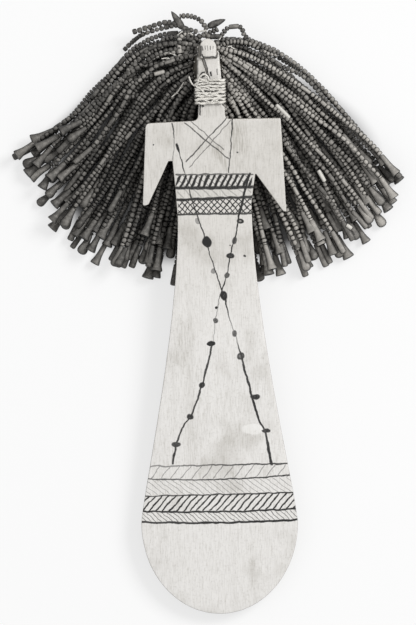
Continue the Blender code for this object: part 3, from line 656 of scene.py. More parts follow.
def cutAcross(shape, axis, places, faces=None):
    # Cuts the board with parallel planes, so that its surface can be carved.
    normal = Vector((1.0, 0.0, 0.0)) if axis == "x" else Vector((0.0, 1.0, 0.0))
    for at in places:
        geometry = shape.verts[:] + shape.edges[:] + shape.faces[:]
        if faces:
            chosen = [face for face in shape.faces if faces(face.calc_center_median())]
            edges = {edge for face in chosen for edge in face.edges}
            verts = {vert for face in chosen for vert in face.verts}
            geometry = list(verts) + list(edges) + chosen
        bmesh.ops.bisect_plane(shape, geom=geometry, plane_co=normal * at, plane_no=normal)


def spaced(low, high, step):
    count = max(1, round((high - low) / step))
    return [lerp(low, high, (index + 0.5) / count) for index in range(count)]


def headHeights(right, down):
    # Lowest and highest of the head stub at a place seen from above.
    full = board["thickness"]
    cap = board["capLength"]
    fromMiddle = right + board["headOffset"]
    across = fromMiddle / (board["capWidth"] / 2)
    crown = min(1.0, down / (cap * 0.6))
    low = full * 0.5 * (1 - crown) ** 2.2
    if down < cap:
        high = full * (1 - 0.32 * (1 - crown) ** 1.6)
        bulge = max(0.0, 1 - abs(across) ** 2.6) ** (1 / 2.6)
        brow = within(down, cap * 0.42, cap * 0.74, 0.9 * mm) * ease((across + 0.45) / 0.4)
        streaks = math.cos(math.tau * right / paddleDetail["striationPitch"])
        high -= brow * paddleDetail["striationDepth"] * (0.5 + 0.5 * streaks)
        high -= 0.35 * mm * ease((down - cap * 0.86) / (cap * 0.14))
        block = full - board["faceCut"] - 0.5 * mm
        broken = noise.noise(Vector((right * 900, down * 900, 2.0))) * paddleDetail["brokenDepth"]
        if across < 0:
            block -= 0.5 * mm - broken
        dome = lerp(block, high, 0.25 + 0.75 * bulge)
        return low, lerp(dome, block, ease((abs(across) - 0.90) / 0.12))
    faceShare = ease((down - cap * 1.05) / (board["headLength"] - cap))
    high = full - lerp(board["faceCut"], board["faceCut"] * 0.45, faceShare)
    facePart = (down - cap) / (board["headLength"] - cap)
    slit = lerp(-board["faceWidth"] * 0.24, board["faceWidth"] * 0.03, facePart)
    fromSlit = fromMiddle - slit
    high -= board["cheekCut"] * (1.15 + 0.35 * min(1.0, -fromSlit / (3 * mm))) * ease(-fromSlit / (0.25 * mm))
    high -= 0.7 * mm * math.exp(-((fromSlit + 0.20 * mm) / (0.19 * mm)) ** 2)
    high += 0.08 * mm * math.exp(-((fromSlit - 0.35 * mm) / (0.25 * mm)) ** 2)
    edge = (abs(fromMiddle) - board["faceWidth"] * 0.40) / (board["faceWidth"] * 0.12)
    high -= 0.5 * mm * ease(edge)
    return 0.0, high


def carvedPlace(point):
    # Moves a point of the flat board to the carved surface.
    down = board["length"] - point.y
    low, high = 0.0, board["thickness"]
    if down < board["headLength"] + 1.5 * mm:
        low, high = headHeights(point.x, down)
        toNeck = ease((down - board["headLength"]) / (1.5 * mm))
        low, high = lerp(low, 0.0, toNeck), lerp(high, board["thickness"], toNeck)
    slow = noise.noise(Vector((point.x * 45, point.y * 28, 3.0)))
    quick = noise.noise(Vector((point.x * 160, point.y * 60, 9.0)))
    rough = paddleDetail["handCarving"] * (slow * 0.8 + quick * 0.3)
    share = point.z / board["thickness"]
    height = lerp(low, high, share) - abs(rough) * (share - 0.5) * 2
    aside = noise.noise(Vector((point.y * 130, math.copysign(5.0, point.x), 1.0))) * 0.06 * mm
    return Vector((point.x + aside, point.y, max(0.0, height)))


def makePaddle(bodyWood, headWood):
    right = headSide(1) + boardSide(1)
    left = headSide(-1) + boardSide(-1)
    crown = Vector((-board["headOffset"], 0.0))
    outline = [crown] + right + [Vector((0.0, board["length"]))] + list(reversed(left))
    shape = bmesh.new()
    verts = [shape.verts.new((point.x, board["length"] - point.y, 0.0)) for point in outline]
    base = shape.faces.new(verts)
    raised = bmesh.ops.extrude_face_region(shape, geom=[base])
    topVerts = [item for item in raised["geom"] if isinstance(item, bmesh.types.BMVert)]
    bmesh.ops.translate(shape, verts=topVerts, vec=(0.0, 0.0, board["thickness"]))
    bmesh.ops.recalc_face_normals(shape, faces=shape.faces)
    rims = [edge for edge in shape.edges if abs(edge.verts[0].co.z - edge.verts[1].co.z) < 1e-6]
    bmesh.ops.bevel(
        shape, geom=rims, offset=board["edgeEase"], segments=3, profile=0.5, affect="EDGES", material=-1,
    )
    halfBlade = board["bladeWidth"] / 2
    headFoot = board["length"] - board["headLength"] - 1.5 * mm
    cutAcross(shape, "y", spaced(0.0, headFoot, paddleDetail["cutSpacing"]))
    cutAcross(shape, "y", [board["length"] - paddleDetail["headWoodFoot"]])
    cutAcross(shape, "y", spaced(headFoot, board["length"], paddleDetail["headCutSpacing"]))
    cutAcross(shape, "x", spaced(-halfBlade, halfBlade, paddleDetail["cutSpacing"]))
    isHead = lambda middle: middle.y > headFoot - 0.0001
    cutAcross(shape, "x", spaced(-0.0066, 0.0041, paddleDetail["headCutSpacing"]), isHead)
    for vert in shape.verts:
        vert.co = lyingMatrix @ carvedPlace(vert.co)
    bmesh.ops.triangulate(shape, faces=[face for face in shape.faces if len(face.verts) > 4])
    neckY = footY + (board["length"] - paddleDetail["headWoodFoot"]) * math.cos(tilt)
    for face in shape.faces:
        face.material_index = int(face.calc_center_median().y > neckY)
    paddle = newPiece("carved_paddle", shape, bodyWood, 50)
    paddle.data.materials.append(headWood)
    rideWith(paddle, "wood", "paddle")


# Linen

linenLook = {
    "base": "#e4e1da",
    "dark": "#8b867d",
    "paintedUnderShade": "#4c4842",
    "roughness": 0.9,
    "ior": 1.46,
    "fibre": 0.12,
}
threadLook = {
    "base": "#7b766d",
    "dark": "#2b2926",
    "paintedUnderShade": "#1d1b19",
    "roughness": 0.92,
    "ior": 1.46,
    "fibre": 0.10,
}


def linen(name, look):
    # Hand spun flax: dry and matt, with fine lengthwise fibres and patches of dirt, and painted shade on the
    # faces that turn sideways and down.
    material, tree, shader = newMaterial(name)
    where = addNode(tree, "ShaderNodeTexCoord").outputs["Object"]
    fibres = noiseOn(tree, where, 1 / (look["fibre"] * mm), 4.0, 0.7)
    soil = noiseOn(tree, where, 1 / (3.0 * mm), 2.0)
    share = product(tree, softStep(tree, fibres, 0.35, 0.75), 0.45)
    share = compute(tree, "ADD", share, product(tree, softStep(tree, soil, 0.45, 0.75), 0.35))
    colour = mixColours(tree, share, linearColour(look["base"]), linearColour(look["dark"]))
    facing = addNode(tree, "ShaderNodeNewGeometry").outputs["Normal"]
    upward = addNode(tree, "ShaderNodeSeparateXYZ", {0: facing}).outputs[2]
    # Painted shade: faces that turn sideways and down take the dark under colour.
    colour = mixColours(tree, softStep(tree, upward, -0.1, 0.75), linearColour(look["paintedUnderShade"]), colour)
    tree.links.new(colour, shader.inputs["Base Color"])
    bump = addNode(tree, "ShaderNodeBump", {"Strength": 0.5, "Distance": 0.00008, "Height": fibres})
    tree.links.new(bump.outputs[0], shader.inputs["Normal"])
    shader.inputs["Roughness"].default_value = look["roughness"]
    shader.inputs["IOR"].default_value = look["ior"]
    return material


def smoothRoute(points, perSpan=8):
    # A smooth line through a few given places.
    points = [Vector(point) for point in points]
    ends = [points[0] * 2 - points[1]] + points + [points[-1] * 2 - points[-2]]
    route = []
    for index in range(1, len(ends) - 2):
        before, start, end, after = ends[index - 1:index + 3]
        leaving = start + (end - before) / 6
        arriving = end - (after - start) / 6
        part = interpolate_bezier(start, leaving, arriving, end, perSpan + 1)
        route += [Vector(point) for point in part[:-1]]
    return route + [points[-1]]


def sideways(points):
    # A direction across the route at each point, carried along without twisting.
    across = None
    frames = []
    for index, point in enumerate(points):
        tangent = (points[min(index + 1, len(points) - 1)] - points[max(index - 1, 0)]).normalized()
        if across is None:
            across = tangent.orthogonal().normalized()
        across = (across - tangent * across.dot(tangent)).normalized()
        frames.append((tangent, across, tangent.cross(across)))
    return frames


def addTube(shape, points, radii, sides=8):
    # A closed round tube along a route, swept from one circle of points.
    frames = sideways(points)
    before = None
    for index, (point, (_, across, upward)) in enumerate(zip(points, frames)):
        radius = radii[index] if isinstance(radii, list) else radii
        ring = []
        for step in range(sides):
            angle = math.tau * step / sides
            spoke = across * math.cos(angle) + upward * math.sin(angle)
            ring.append(shape.verts.new(point + spoke * radius))
        if before is None:
            shape.faces.new(list(reversed(ring)))
        else:
            for step in range(sides):
                after = (step + 1) % sides
                shape.faces.new((before[step], before[after], ring[after], ring[step]))
        before = ring
    shape.faces.new(before)


def addTwist(shape, points, diameter, lay, plies=2, sides=8, plyShare=0.34):
    # A cord of plies that turn round each other, one turn for each lay of its length.
    frames = sideways(points)
    lengths = runningLengths(points)
    plyRadius = diameter * plyShare
    for ply in range(plies):
        course = []
        for point, (_, across, upward), length in zip(points, frames, lengths):
            angle = math.tau * (length / lay + ply / plies)
            reach = diameter / 2 - plyRadius
            course.append(point + (across * math.cos(angle) + upward * math.sin(angle)) * reach)
        addTube(shape, course, plyRadius, sides)


def runningLengths(points):
    lengths = [0.0]
    for before, after in zip(points, points[1:]):
        lengths.append(lengths[-1] + (after - before).length)
    return lengths


binding = {
    "diameter": 1.35 * mm,
    "turns": 7.5,
    "turnGap": 0.1 * mm,
    "clearance": 0.3 * mm,
    "squareness": 0.28,
    "stepsPerTurn": 150,
    "lay": 7.0 * mm,
    "drift": 0.52 * mm,
    "tangleDiameter": 0.75 * mm,
}
bindingLength = binding["turns"] * (binding["diameter"] + binding["turnGap"])


def neckRingPoint(turn, lift=0.0):
    # A place on the cord's middle line, a rounded rectangle that follows the neck's section.
    reach = binding["clearance"] + binding["diameter"] / 2 + lift
    angle = math.tau * turn
    across = math.copysign(abs(math.cos(angle)) ** binding["squareness"], math.cos(angle))
    upward = math.copysign(abs(math.sin(angle)) ** binding["squareness"], math.sin(angle))
    x = across * (board["boundNeckWidth"] / 2 + reach) - board["boundNeckOffset"]
    return x, board["thickness"] / 2 + upward * (board["thickness"] / 2 + reach)


def spreadEvenly(points, count):
    # The same route with its points evenly spaced.
    lengths = runningLengths(points)
    wanted = [lengths[-1] * index / (count - 1) for index in range(count)]
    result = []
    index = 1
    for length in wanted:
        while index < len(points) - 1 and lengths[index] < length:
            index += 1
        share = (length - lengths[index - 1]) / (lengths[index] - lengths[index - 1])
        result.append(points[index - 1].lerp(points[index], share))
    return result


# Loose turns and ends over the left of the binding: right and down in millimetres.
tangleRoutes = (
    ((-5.9, 16.9), (-5.0, 15.1), (-3.4, 14.2), (-1.9, 15.0), (-1.4, 16.6)),
    ((-7.1, 18.3), (-5.5, 17.1), (-3.1, 16.9), (-0.7, 17.7), (1.4, 17.4)),
    ((-6.7, 20.7), (-4.7, 19.1), (-2.3, 19.3), (-0.3, 20.5), (1.8, 20.2)),
    ((-6.6, 18.9), (-4.6, 20.2), (-3.0, 21.8), (-0.6, 21.4)),
    ((-6.5, 22.9), (-4.3, 21.6), (-2.0, 22.6), (0.8, 22.3)),
    ((-9.4, 15.0), (-8.5, 17.4), (-7.2, 18.6), (-5.4, 18.2), (-3.6, 17.6)),
    ((-6.8, 24.6), (-3.9, 24.2), (-1.0, 25.4), (0.4, 24.4), (2.6, 25.3)),
)


def makeBinding(material):
    # Wound by hand, so the turns wander, cross and leave dark gaps, with a tangle at the left.
    steps = round(binding["turns"] * binding["stepsPerTurn"])
    top = board["headLength"] + binding["diameter"] / 2
    run = bindingLength - binding["diameter"]
    points = []
    for step in range(steps + 1):
        turn = step / binding["stepsPerTurn"] + 0.03
        x, z = neckRingPoint(turn)
        drift = noise.noise(Vector((x * 210, turn * 0.9, z * 200))) * binding["drift"]
        drift += noise.noise(Vector((x * 520, turn * 2.1, 7.0))) * binding["drift"] * 0.5
        points.append(Vector((x, board["length"] - lerp(top, top + run, step / steps) - drift, z)))
    points = spreadEvenly([lyingMatrix @ point for point in points], 1500)
    shape = bmesh.new()
    addTwist(shape, points, binding["diameter"] * 0.93, binding["lay"])
    level = board["thickness"] + binding["clearance"] + binding["diameter"] * 0.95
    for index, places in enumerate(tangleRoutes):
        route = []
        for share, (right, down) in enumerate(places):
            lift = noise.noise(Vector((index * 3.1, share * 1.7, 0.5))) * 0.3 * mm
            aside = max(0.0, -right * mm - board["boundNeckWidth"] / 2 - board["boundNeckOffset"])
            route.append(Vector((right * mm, board["length"] - down * mm, level + lift - aside * 0.8)))
        route = [lyingMatrix @ point for point in smoothRoute(route, 6)]
        addTwist(shape, route, binding["tangleDiameter"], binding["lay"] * 0.35)
    bmesh.ops.recalc_face_normals(shape, faces=shape.faces)
    cord = newPiece("linen_neck_cord", shape, material, 60)
    rideWith(cord, "linen", "neck_binding")


# Hair

hair = {
    "strandDiameter": 2.2 * mm,
    "threadDiameter": 0.9 * mm,
    "gap": 0.4 * mm,
    "layers": 3,
    "stepBack": 10.0 * mm,
    "endBeadLength": 9.5 * mm,
    "bellMouth": 4.4 * mm,
    "dropWidth": 3.9 * mm,
    "rodWidth": 2.7 * mm,
    "settleReach": 30.0 * mm,
    "gatherWidth": 12.8 * mm,
    "gatherLength": 24.2 * mm,
    "gatherDown": 12.8 * mm,
    "floorGap": 0.8 * mm,
    "rootAngles": (20, 168),
    "reachJitter": 1.0 * mm,
    "seed": 11,
    "samples": 33,
    "bodyShadeSpread": 0.30,
}
hair["centre"] = Vector((
    axisX - board["headOffset"],
    footY + (board["length"] - hair["gatherDown"]) * math.cos(tilt),
    0.0,
))
# The left fan's tones are painted darker and the right fan's paler, as painted light from the right, on top
# of each strand's own tone.
fans = {
    "left": {
        "side": -1,
        "reach": 88.0 * mm,
        "reachShares": (0.990, 0.985, 0.985, 1.020, 1.034, 1.006, 0.950, 0.968, 0.985),
        "tipAngles": (9, 73),
        "startAngles": (2, 98),
        "startPulls": (14 * mm, 40 * mm),
        "endPulls": (42 * mm, 30 * mm),
        "endLeans": (0.92, 1.05),
        "tones": (-0.04, 0.26),
        "upperStarts": (14, 34, 54, 70, 84, 98, 112),
        "upperPulls": (12 * mm, 34 * mm),
    },
    "right": {
        "side": 1,
        "reach": 90.5 * mm,
        "reachShares": (0.961, 0.967, 1.000, 1.022, 1.036, 1.031, 1.028, 0.993, 0.978),
        "tipAngles": (12, 64),
        "startAngles": (2, 106),
        "startPulls": (14 * mm, 32 * mm),
        "endPulls": (42 * mm, 26 * mm),
        "endLeans": (0.92, 0.62),
        "tones": (0.18, 0.80),
        "upperStarts": (8, 20, 32, 44, 54, 66, 82),
        "upperPulls": (12 * mm, 26 * mm),
    },
}

mudLook = {
    "base": "#b9b5ae",
    "dark": "#34322f",
    "paintedUnderShade": "#100f0e",
    "pale": "#cfccc5",
    "roughness": 0.62,
    "ior": 1.5,
    "grit": 0.25,
}


def driedMud():
    # Nile mud rolled by hand and dried: dull dark grey, with fine grit, and a faint shine where
    # the beads have rubbed. Each bead has its own tone and a few were made of paler stuff. The upper sides
    # are painted paler and the sides and ends darker, as painted light from above and painted shade.
    material, tree, shader = newMaterial("dried mud")
    where = addNode(tree, "ShaderNodeTexCoord").outputs["Object"]
    tone = addNode(tree, "ShaderNodeAttribute", attribute_name="tone").outputs["Fac"]
    grit = noiseOn(tree, where, 1 / (mudLook["grit"] * mm), 3.0, 0.65)
    dust = noiseOn(tree, where, 1 / (1.6 * mm), 3.0, 0.6)
    light = product(tree, softStep(tree, tone, -0.1, 0.85), 0.80)
    light = compute(tree, "ADD", light, product(tree, softStep(tree, dust, 0.4, 0.7), 0.20))
    body = mixColours(tree, light, linearColour(mudLook["dark"]), linearColour(mudLook["base"]))
    gritty = product(tree, softStep(tree, grit, 0.55, 0.85), 0.5)
    speckled = mixColours(tree, gritty, body, linearColour(mudLook["dark"]))
    isPale = softStep(tree, tone, 0.9, 0.97)
    beadColour = mixColours(tree, isPale, speckled, linearColour(mudLook["pale"]))
    facing = addNode(tree, "ShaderNodeNewGeometry").outputs["Normal"]
    upward = addNode(tree, "ShaderNodeSeparateXYZ", {0: facing}).outputs[2]
    # Painted light and shade: upper sides keep the bead colour, sides and ends take the dark under colour.
    paintedLightFromAbove = softStep(tree, upward, 0.25, 0.98)
    colour = mixColours(tree, paintedLightFromAbove, linearColour(mudLook["paintedUnderShade"]), beadColour)
    tree.links.new(colour, shader.inputs["Base Color"])
    bump = addNode(tree, "ShaderNodeBump", {"Strength": 0.6, "Distance": 0.00012, "Height": grit})
    tree.links.new(bump.outputs[0], shader.inputs["Normal"])
    shader.inputs["Roughness"].default_value = mudLook["roughness"]
    shader.inputs["IOR"].default_value = mudLook["ior"]
    return material


def outward(side, degrees):
    angle = math.radians(degrees)
    return Vector((side * math.sin(angle), -math.cos(angle)))


def rootPoint(side, spread):
    # Where a strand leaves the gathered threads, on an ellipse round their middle.
    direction = outward(side, lerp(*hair["rootAngles"], spread))
    away = binding["clearance"] + hair["threadDiameter"] / 2
    reachX = hair["gatherWidth"] / 2 + away
    reachY = hair["gatherLength"] / 2 + away
    return Vector((direction.x * reachX, direction.y * reachY))


def fanReach(fan, spread):
    # How far out the lowest strands end, from the lowest to the highest in the fan.
    shares = fan["reachShares"]
    at = min(0.9999, max(0.0, spread)) * (len(shares) - 1)
    return fan["reach"] * lerp(shares[int(at)], shares[int(at) + 1], at % 1)


def strandPlan(fan, spread, reach):
    # The route seen from above: out of the threads, over, and down towards the tip.
    side = fan["side"]
    tipAngle = lerp(*fan["tipAngles"], spread)
    root = rootPoint(side, spread)
    tip = outward(side, tipAngle) * reach
    start = outward(side, lerp(*fan["startAngles"], spread)) * lerp(*fan["startPulls"], spread)
    end = outward(side, tipAngle * lerp(*fan["endLeans"], spread)) * lerp(*fan["endPulls"], spread)
    plan = interpolate_bezier(root, root + start, tip - end, tip, hair["samples"])
    return [Vector(point[:2]) for point in plan]


def layerHeights():
    # Each layer's height where it leaves the threads, and where it lies spread out.
    gatherHalf = hair["gatherLength"] / 2
    low = backHeight(hair["gatherDown"] - gatherHalf) - backHeight(hair["gatherDown"] + gatherHalf)
    low += hair["floorGap"] + hair["threadDiameter"]
    high = backHeight(board["headLength"] + bindingLength) - binding["diameter"]
    high -= binding["clearance"] * 2 + hair["strandDiameter"] / 2
    heights = []
    for layer in range(hair["layers"]):
        settled = hair["strandDiameter"] / 2 + layer * (hair["strandDiameter"] + hair["gap"])
        heights.append((lerp(low, high, layer / (hair["layers"] - 1)), settled))
    return heights


def heightAt(point, heights):
    # How high a strand lies that runs from the threads down to where it has settled.
    settled = ease((point.length - hair["gatherWidth"] / 2) / hair["settleReach"])
    return lerp(*heights, settled)


def raisedRoute(plan, heights):
    return [hair["centre"] + Vector((point.x, point.y, heightAt(point, heights))) for point in plan]


# The top of the heap of strands, for small squares of the floor.
heap = {"cell": 0.6 * mm, "tops": {}, "nestle": 0.72, "bridge": 3, "crest": 8.0 * mm, "squeeze": 0.5}


def cellsUnder(point, radius):
    # The squares below a round strand, each with the strand's half height above it.
    cell = heap["cell"]
    columns = range(math.floor((point.x - radius) / cell), math.floor((point.x + radius) / cell) + 1)
    rows = range(math.floor((point.y - radius) / cell), math.floor((point.y + radius) / cell) + 1)
    for column in columns:
        for row in rows:
            away = math.hypot((column + 0.5) * cell - point.x, (row + 0.5) * cell - point.y)
            if away < radius:
                yield (column, row), math.sqrt(radius * radius - away * away)


def layOnHeap(route, radius):
    count = max(2, round(runningLengths(route)[-1] / heap["cell"]))
    for point in spreadEvenly(route, count):
        for square, halfHeight in cellsUnder(point, radius):
            heap["tops"][square] = max(heap["tops"].get(square, 0.0), point.z + halfHeight)


def ceilingAbove(point):
    # Height of the wood or the cord over a place, or nothing where the hair lies open.
    right = point.x - axisX
    down = board["length"] - (point.y - footY) / math.cos(tilt)
    widths = (
        (0.0, 0.0, 0.0, 0.0), (board["headLength"], 5.7 * mm, board["headOffset"], 0.0),
        (board["boundNeckFoot"], 7.4 * mm, board["boundNeckOffset"], 1.65 * mm),
        (board["shoulderDown"], 9.0 * mm, 0.0, 0.0), (70.0 * mm, 30.0 * mm, 0.0, 0.0),
        (110.0 * mm, 18.5 * mm, 0.0, 0.0),
    )
    for foot, half, offset, cord in widths:
        if down < foot:
            return backHeight(down) - cord if abs(right + offset) < half else math.inf
    return math.inf


def mean(values):
    return sum(values) / len(values)


def drapedRoute(plan, radius, heights=(0.0, 0.0)):
    # Lays a strand over those below it: it rests on them, bridges the gaps and stays under the wood.
    places = [hair["centre"] + Vector((*point[:2], 0.0)) for point in plan]
    rests = []
    for seen, point in zip(plan, places):
        top = max(heap["tops"].get(square, 0.0) + half for square, half in cellsUnder(point, radius))
        rest = top - radius * (1 - heap["nestle"])
        if rest > heap["crest"]:
            rest = heap["crest"] + (rest - heap["crest"]) * heap["squeeze"]
        rests.append(max(radius, rest, heightAt(Vector(seen[:2]), heights)))
    span = heap["bridge"]
    for smooth in (max, max, mean, mean):
        rests = [smooth(rests[max(0, index - span):index + span + 1]) for index in range(len(rests))]
    route = []
    for point, rest in zip(places, rests):
        height = min(rest, ceilingAbove(point) - radius - 0.1 * mm)
        route.append(Vector((point.x, point.y, max(radius, height))))
    return route


def turnedProfile(name, stations, sides):
    # A closed round bead, turned from (distance, radius) stations along its length.
    shape = bmesh.new()
    verts = [shape.verts.new((radius, 0.0, along)) for along, radius in stations]
    edges = [shape.edges.new(pair) for pair in zip(verts, verts[1:])]
    bmesh.ops.spin(
        shape, geom=verts + edges, cent=(0.0, 0.0, 0.0), axis=(0.0, 0.0, 1.0), angle=math.tau,
        steps=sides, use_merge=True, use_duplicate=False,
    )
    bmesh.ops.remove_doubles(shape, verts=shape.verts, dist=1e-5)
    bmesh.ops.holes_fill(shape, edges=[edge for edge in shape.edges if edge.is_boundary], sides=0)
    bmesh.ops.recalc_face_normals(shape, faces=shape.faces)
    mesh = bpy.data.meshes.new(name)
    shape.to_mesh(mesh)
    shape.free()
    return mesh


# Each bead's outline as shares of its length and of its radius.
beadOutlines = {
    "ring": {
        "sides": 9,
        "stations": (
            (0.0, 0.36), (0.05, 0.72), (0.20, 0.95), (0.50, 1.0), (0.80, 0.95), (0.95, 0.72), (1.0, 0.36),
        ),
    },
    "barrel": {
        "sides": 9,
        "stations": (
            (0.0, 0.34), (0.07, 0.62), (0.26, 0.92), (0.50, 1.0), (0.74, 0.92), (0.93, 0.62), (1.0, 0.34),
        ),
    },
    "tube": {
        "sides": 10,
        "stations": (
            (0.0, 0.45), (0.03, 0.78), (0.10, 0.92), (0.5, 0.96), (0.90, 0.93), (0.97, 0.8), (1.0, 0.45),
        ),
    },
    "bell": {
        "sides": 18,
        "stations": (
            (0.0, 0.34), (0.03, 0.50), (0.15, 0.54), (0.40, 0.56), (0.62, 0.64), (0.80, 0.80), (0.92, 0.96),
            (0.975, 1.0), (1.0, 0.94), (0.99, 0.60), (0.96, 0.20),
        ),
    },
    "drop": {
        "sides": 16,
        "stations": (
            (0.0, 0.34), (0.04, 0.48), (0.25, 0.58), (0.50, 0.76), (0.70, 0.96), (0.82, 1.0), (0.92, 0.86),
            (0.98, 0.50), (1.0, 0.14),
        ),
    },
    "rod": {
        "sides": 14,
        "stations": (
            (0.0, 0.50), (0.03, 0.76), (0.20, 0.84), (0.60, 0.92), (0.90, 1.0), (0.97, 0.92), (1.0, 0.60),
            (0.99, 0.15),
        ),
    },
    "spike": {
        "sides": 12,
        "stations": (
            (0.0, 0.45), (0.05, 0.80), (0.25, 1.0), (0.50, 0.94), (0.75, 0.66), (0.92, 0.34), (1.0, 0.08),
        ),
    },
}
beadMeshes = {
    name: turnedProfile(f"bead {name}", outline["stations"], outline["sides"])
    for name, outline in beadOutlines.items()
}


def stampBead(shape, toneLayer, kind, place, direction, length, radius, tone, draw):
    # Puts one bead in a strand, its start at the place and its length along the direction.
    old = len(shape.verts)
    shape.from_mesh(beadMeshes[kind])
    shape.verts.ensure_lookup_table()
    turn = direction.to_track_quat("Z", "Y").to_matrix().to_4x4()
    roll = Matrix.Rotation(draw.uniform(0, math.tau), 4, "Z")
    oval = draw.uniform(0.94, 1.06)
    size = Matrix.Diagonal((radius * oval, radius / oval, length, 1.0))
    matrix = Matrix.Translation(place) @ turn @ roll @ size
    for vert in shape.verts[old:]:
        vert.co = matrix @ vert.co
        vert[toneLayer] = tone


def followRoute(points, lengths, wanted):
    wanted = min(wanted, lengths[-1])
    for index in range(1, len(points)):
        if lengths[index] >= wanted:
            share = (wanted - lengths[index - 1]) / (lengths[index] - lengths[index - 1])
            return points[index - 1].lerp(points[index], share)
    return points[-1].copy()


endSizes = {
    "bell": {"radius": hair["bellMouth"] / 2, "length": (0.94, 1.10)},
    "drop": {"radius": hair["dropWidth"] / 2, "length": (0.85, 1.0)},
    "rod": {"radius": hair["rodWidth"] / 2, "length": (0.9, 1.08)},
    "spike": {"radius": 1.45 * mm, "length": (0.8, 0.9)},
}
threadRoutes = []


def stringStrand(shape, route, endKind, draw, tones, bare=2.0 * mm, thickness=1.0):
    # Strings beads on a route: bare thread, then beads, then the larger end bead.
    toneLayer = shape.verts.layers.float.get("tone") or shape.verts.layers.float.new("tone")
    lengths = runningLengths(route)
    radius = hair["strandDiameter"] / 2 * thickness
    strandTone = draw.uniform(*tones)
    endLength = hair["endBeadLength"] * draw.uniform(*endSizes[endKind]["length"]) if endKind else 0.0
    last = lengths[-1] - endLength
    at = bare * draw.uniform(0.6, 1.3)
    threadRoutes.append([followRoute(route, lengths, (at + radius) * share) for share in (0.0, 0.5, 1.0)])
    long = draw.uniform(1.45, 2.15)
    while at < last - 0.6 * mm:
        pick = draw.random()
        kind = "ring" if pick < 0.5 else "barrel"
        length = long * draw.uniform(0.82, 1.18) * mm
        if pick > 0.955:
            kind = "tube"
            length = draw.uniform(2.8, 5.0) * mm
        length = min(length, last - at)
        tone = min(0.85, max(0.0, strandTone + draw.uniform(-0.16, 0.16)))
        start = followRoute(route, lengths, at)
        direction = (followRoute(route, lengths, at + length) - start).normalized()
        sway = Vector((draw.uniform(-1, 1), draw.uniform(-1, 1), draw.uniform(-1, 1))) * 0.06
        wide = radius * draw.uniform(0.90, 1.07) * (0.94 if kind == "tube" else 1.0)
        start.z = max(start.z, wide * 1.08)
        heading = (direction + sway).normalized()
        stampBead(shape, toneLayer, kind, start, heading, length * 0.98, wide, tone, draw)
        at += length + draw.uniform(-0.02, 0.10) * mm
    if endKind:
        wide = endSizes[endKind]["radius"] * draw.uniform(0.92, 1.12)
        start = followRoute(route, lengths, last)
        finish = route[-1] + Vector((0.0, 0.0, max(0.0, wide - radius)))
        start.z = max(start.z, wide * 0.66)
        finish.z = max(finish.z, wide * 1.08)
        tone = min(0.85, max(0.0, strandTone * 0.8 + draw.uniform(-0.12, 0.14)))
        heading = (finish - start).normalized()
        stampBead(shape, toneLayer, endKind, start, heading, endLength, wide, tone, draw)


# The uppermost strands of each fan cross those below. From the lowest: the end bead's kind, and places
# right of and above the hair's centre, as shares of the fan's reach.
upperRoutes = {
    "left": (
        ("bell", (-0.102, -0.199), (-0.176, -0.324),
         (-0.223, -0.460), (-0.255, -0.659), (-0.288, -0.875)),
        ("rod", (-0.131, -0.176), (-0.222, -0.301),
         (-0.290, -0.438), (-0.344, -0.636), (-0.393, -0.858)),
        ("bell", (-0.133, -0.126), (-0.247, -0.266),
         (-0.340, -0.436), (-0.423, -0.586), (-0.551, -0.812)),
        ("drop", (-0.165, -0.100), (-0.316, -0.234),
         (-0.440, -0.364), (-0.564, -0.514), (-0.670, -0.710)),
        ("bell", (-0.148, -0.034), (-0.295, -0.100),
         (-0.456, -0.141), (-0.602, -0.261), (-0.767, -0.523)),
        ("bell", (-0.148, -0.003), (-0.318, -0.027),
         (-0.455, -0.086), (-0.619, -0.227), (-0.795, -0.420)),
        ("bell", (-0.131, 0.041), (-0.330, 0.027),
         (-0.438, -0.011), (-0.591, -0.170), (-0.881, -0.373)),
        ("rod", (-0.127, 0.134), (-0.256, 0.114),
         (-0.369, 0.045), (-0.477, -0.080), (-0.602, -0.225)),
        (None, (-0.100, 0.170), (-0.209, 0.167),
         (-0.330, 0.111), (-0.425, 0.016), (-0.527, -0.109)),
    ),
    "right": (
        ("bell", (0.083, -0.221), (0.133, -0.354),
         (0.171, -0.486), (0.208, -0.663), (0.239, -0.895)),
        ("rod", (0.127, -0.199), (0.193, -0.331),
         (0.243, -0.475), (0.290, -0.674), (0.326, -0.873)),
        ("drop", (0.129, -0.106), (0.225, -0.215),
         (0.316, -0.362), (0.373, -0.530), (0.425, -0.818)),
        ("bell", (0.149, -0.072), (0.271, -0.182),
         (0.380, -0.382), (0.464, -0.597), (0.541, -0.823)),
        ("bell", (0.160, -0.022), (0.287, -0.122),
         (0.409, -0.304), (0.506, -0.508), (0.613, -0.746)),
        ("drop", (0.160, 0.027), (0.287, -0.077),
         (0.431, -0.275), (0.564, -0.486), (0.713, -0.685)),
        ("bell", (0.144, 0.082), (0.282, -0.002),
         (0.436, -0.149), (0.591, -0.337), (0.790, -0.630)),
        ("rod", (0.161, 0.099), (0.326, -0.007),
         (0.522, -0.166), (0.705, -0.350), (0.845, -0.486)),
        (None, (0.110, 0.135), (0.210, 0.105),
         (0.309, 0.024), (0.436, -0.044), (0.569, -0.210)),
    ),
}


def tonesInBodyShade(fan, spread):
    # The strands beside and under the body are painted darker, as painted shade from the board above them.
    kept = ease(0.25 + spread / hair["bodyShadeSpread"])
    return [tone * kept for tone in fan["tones"]]


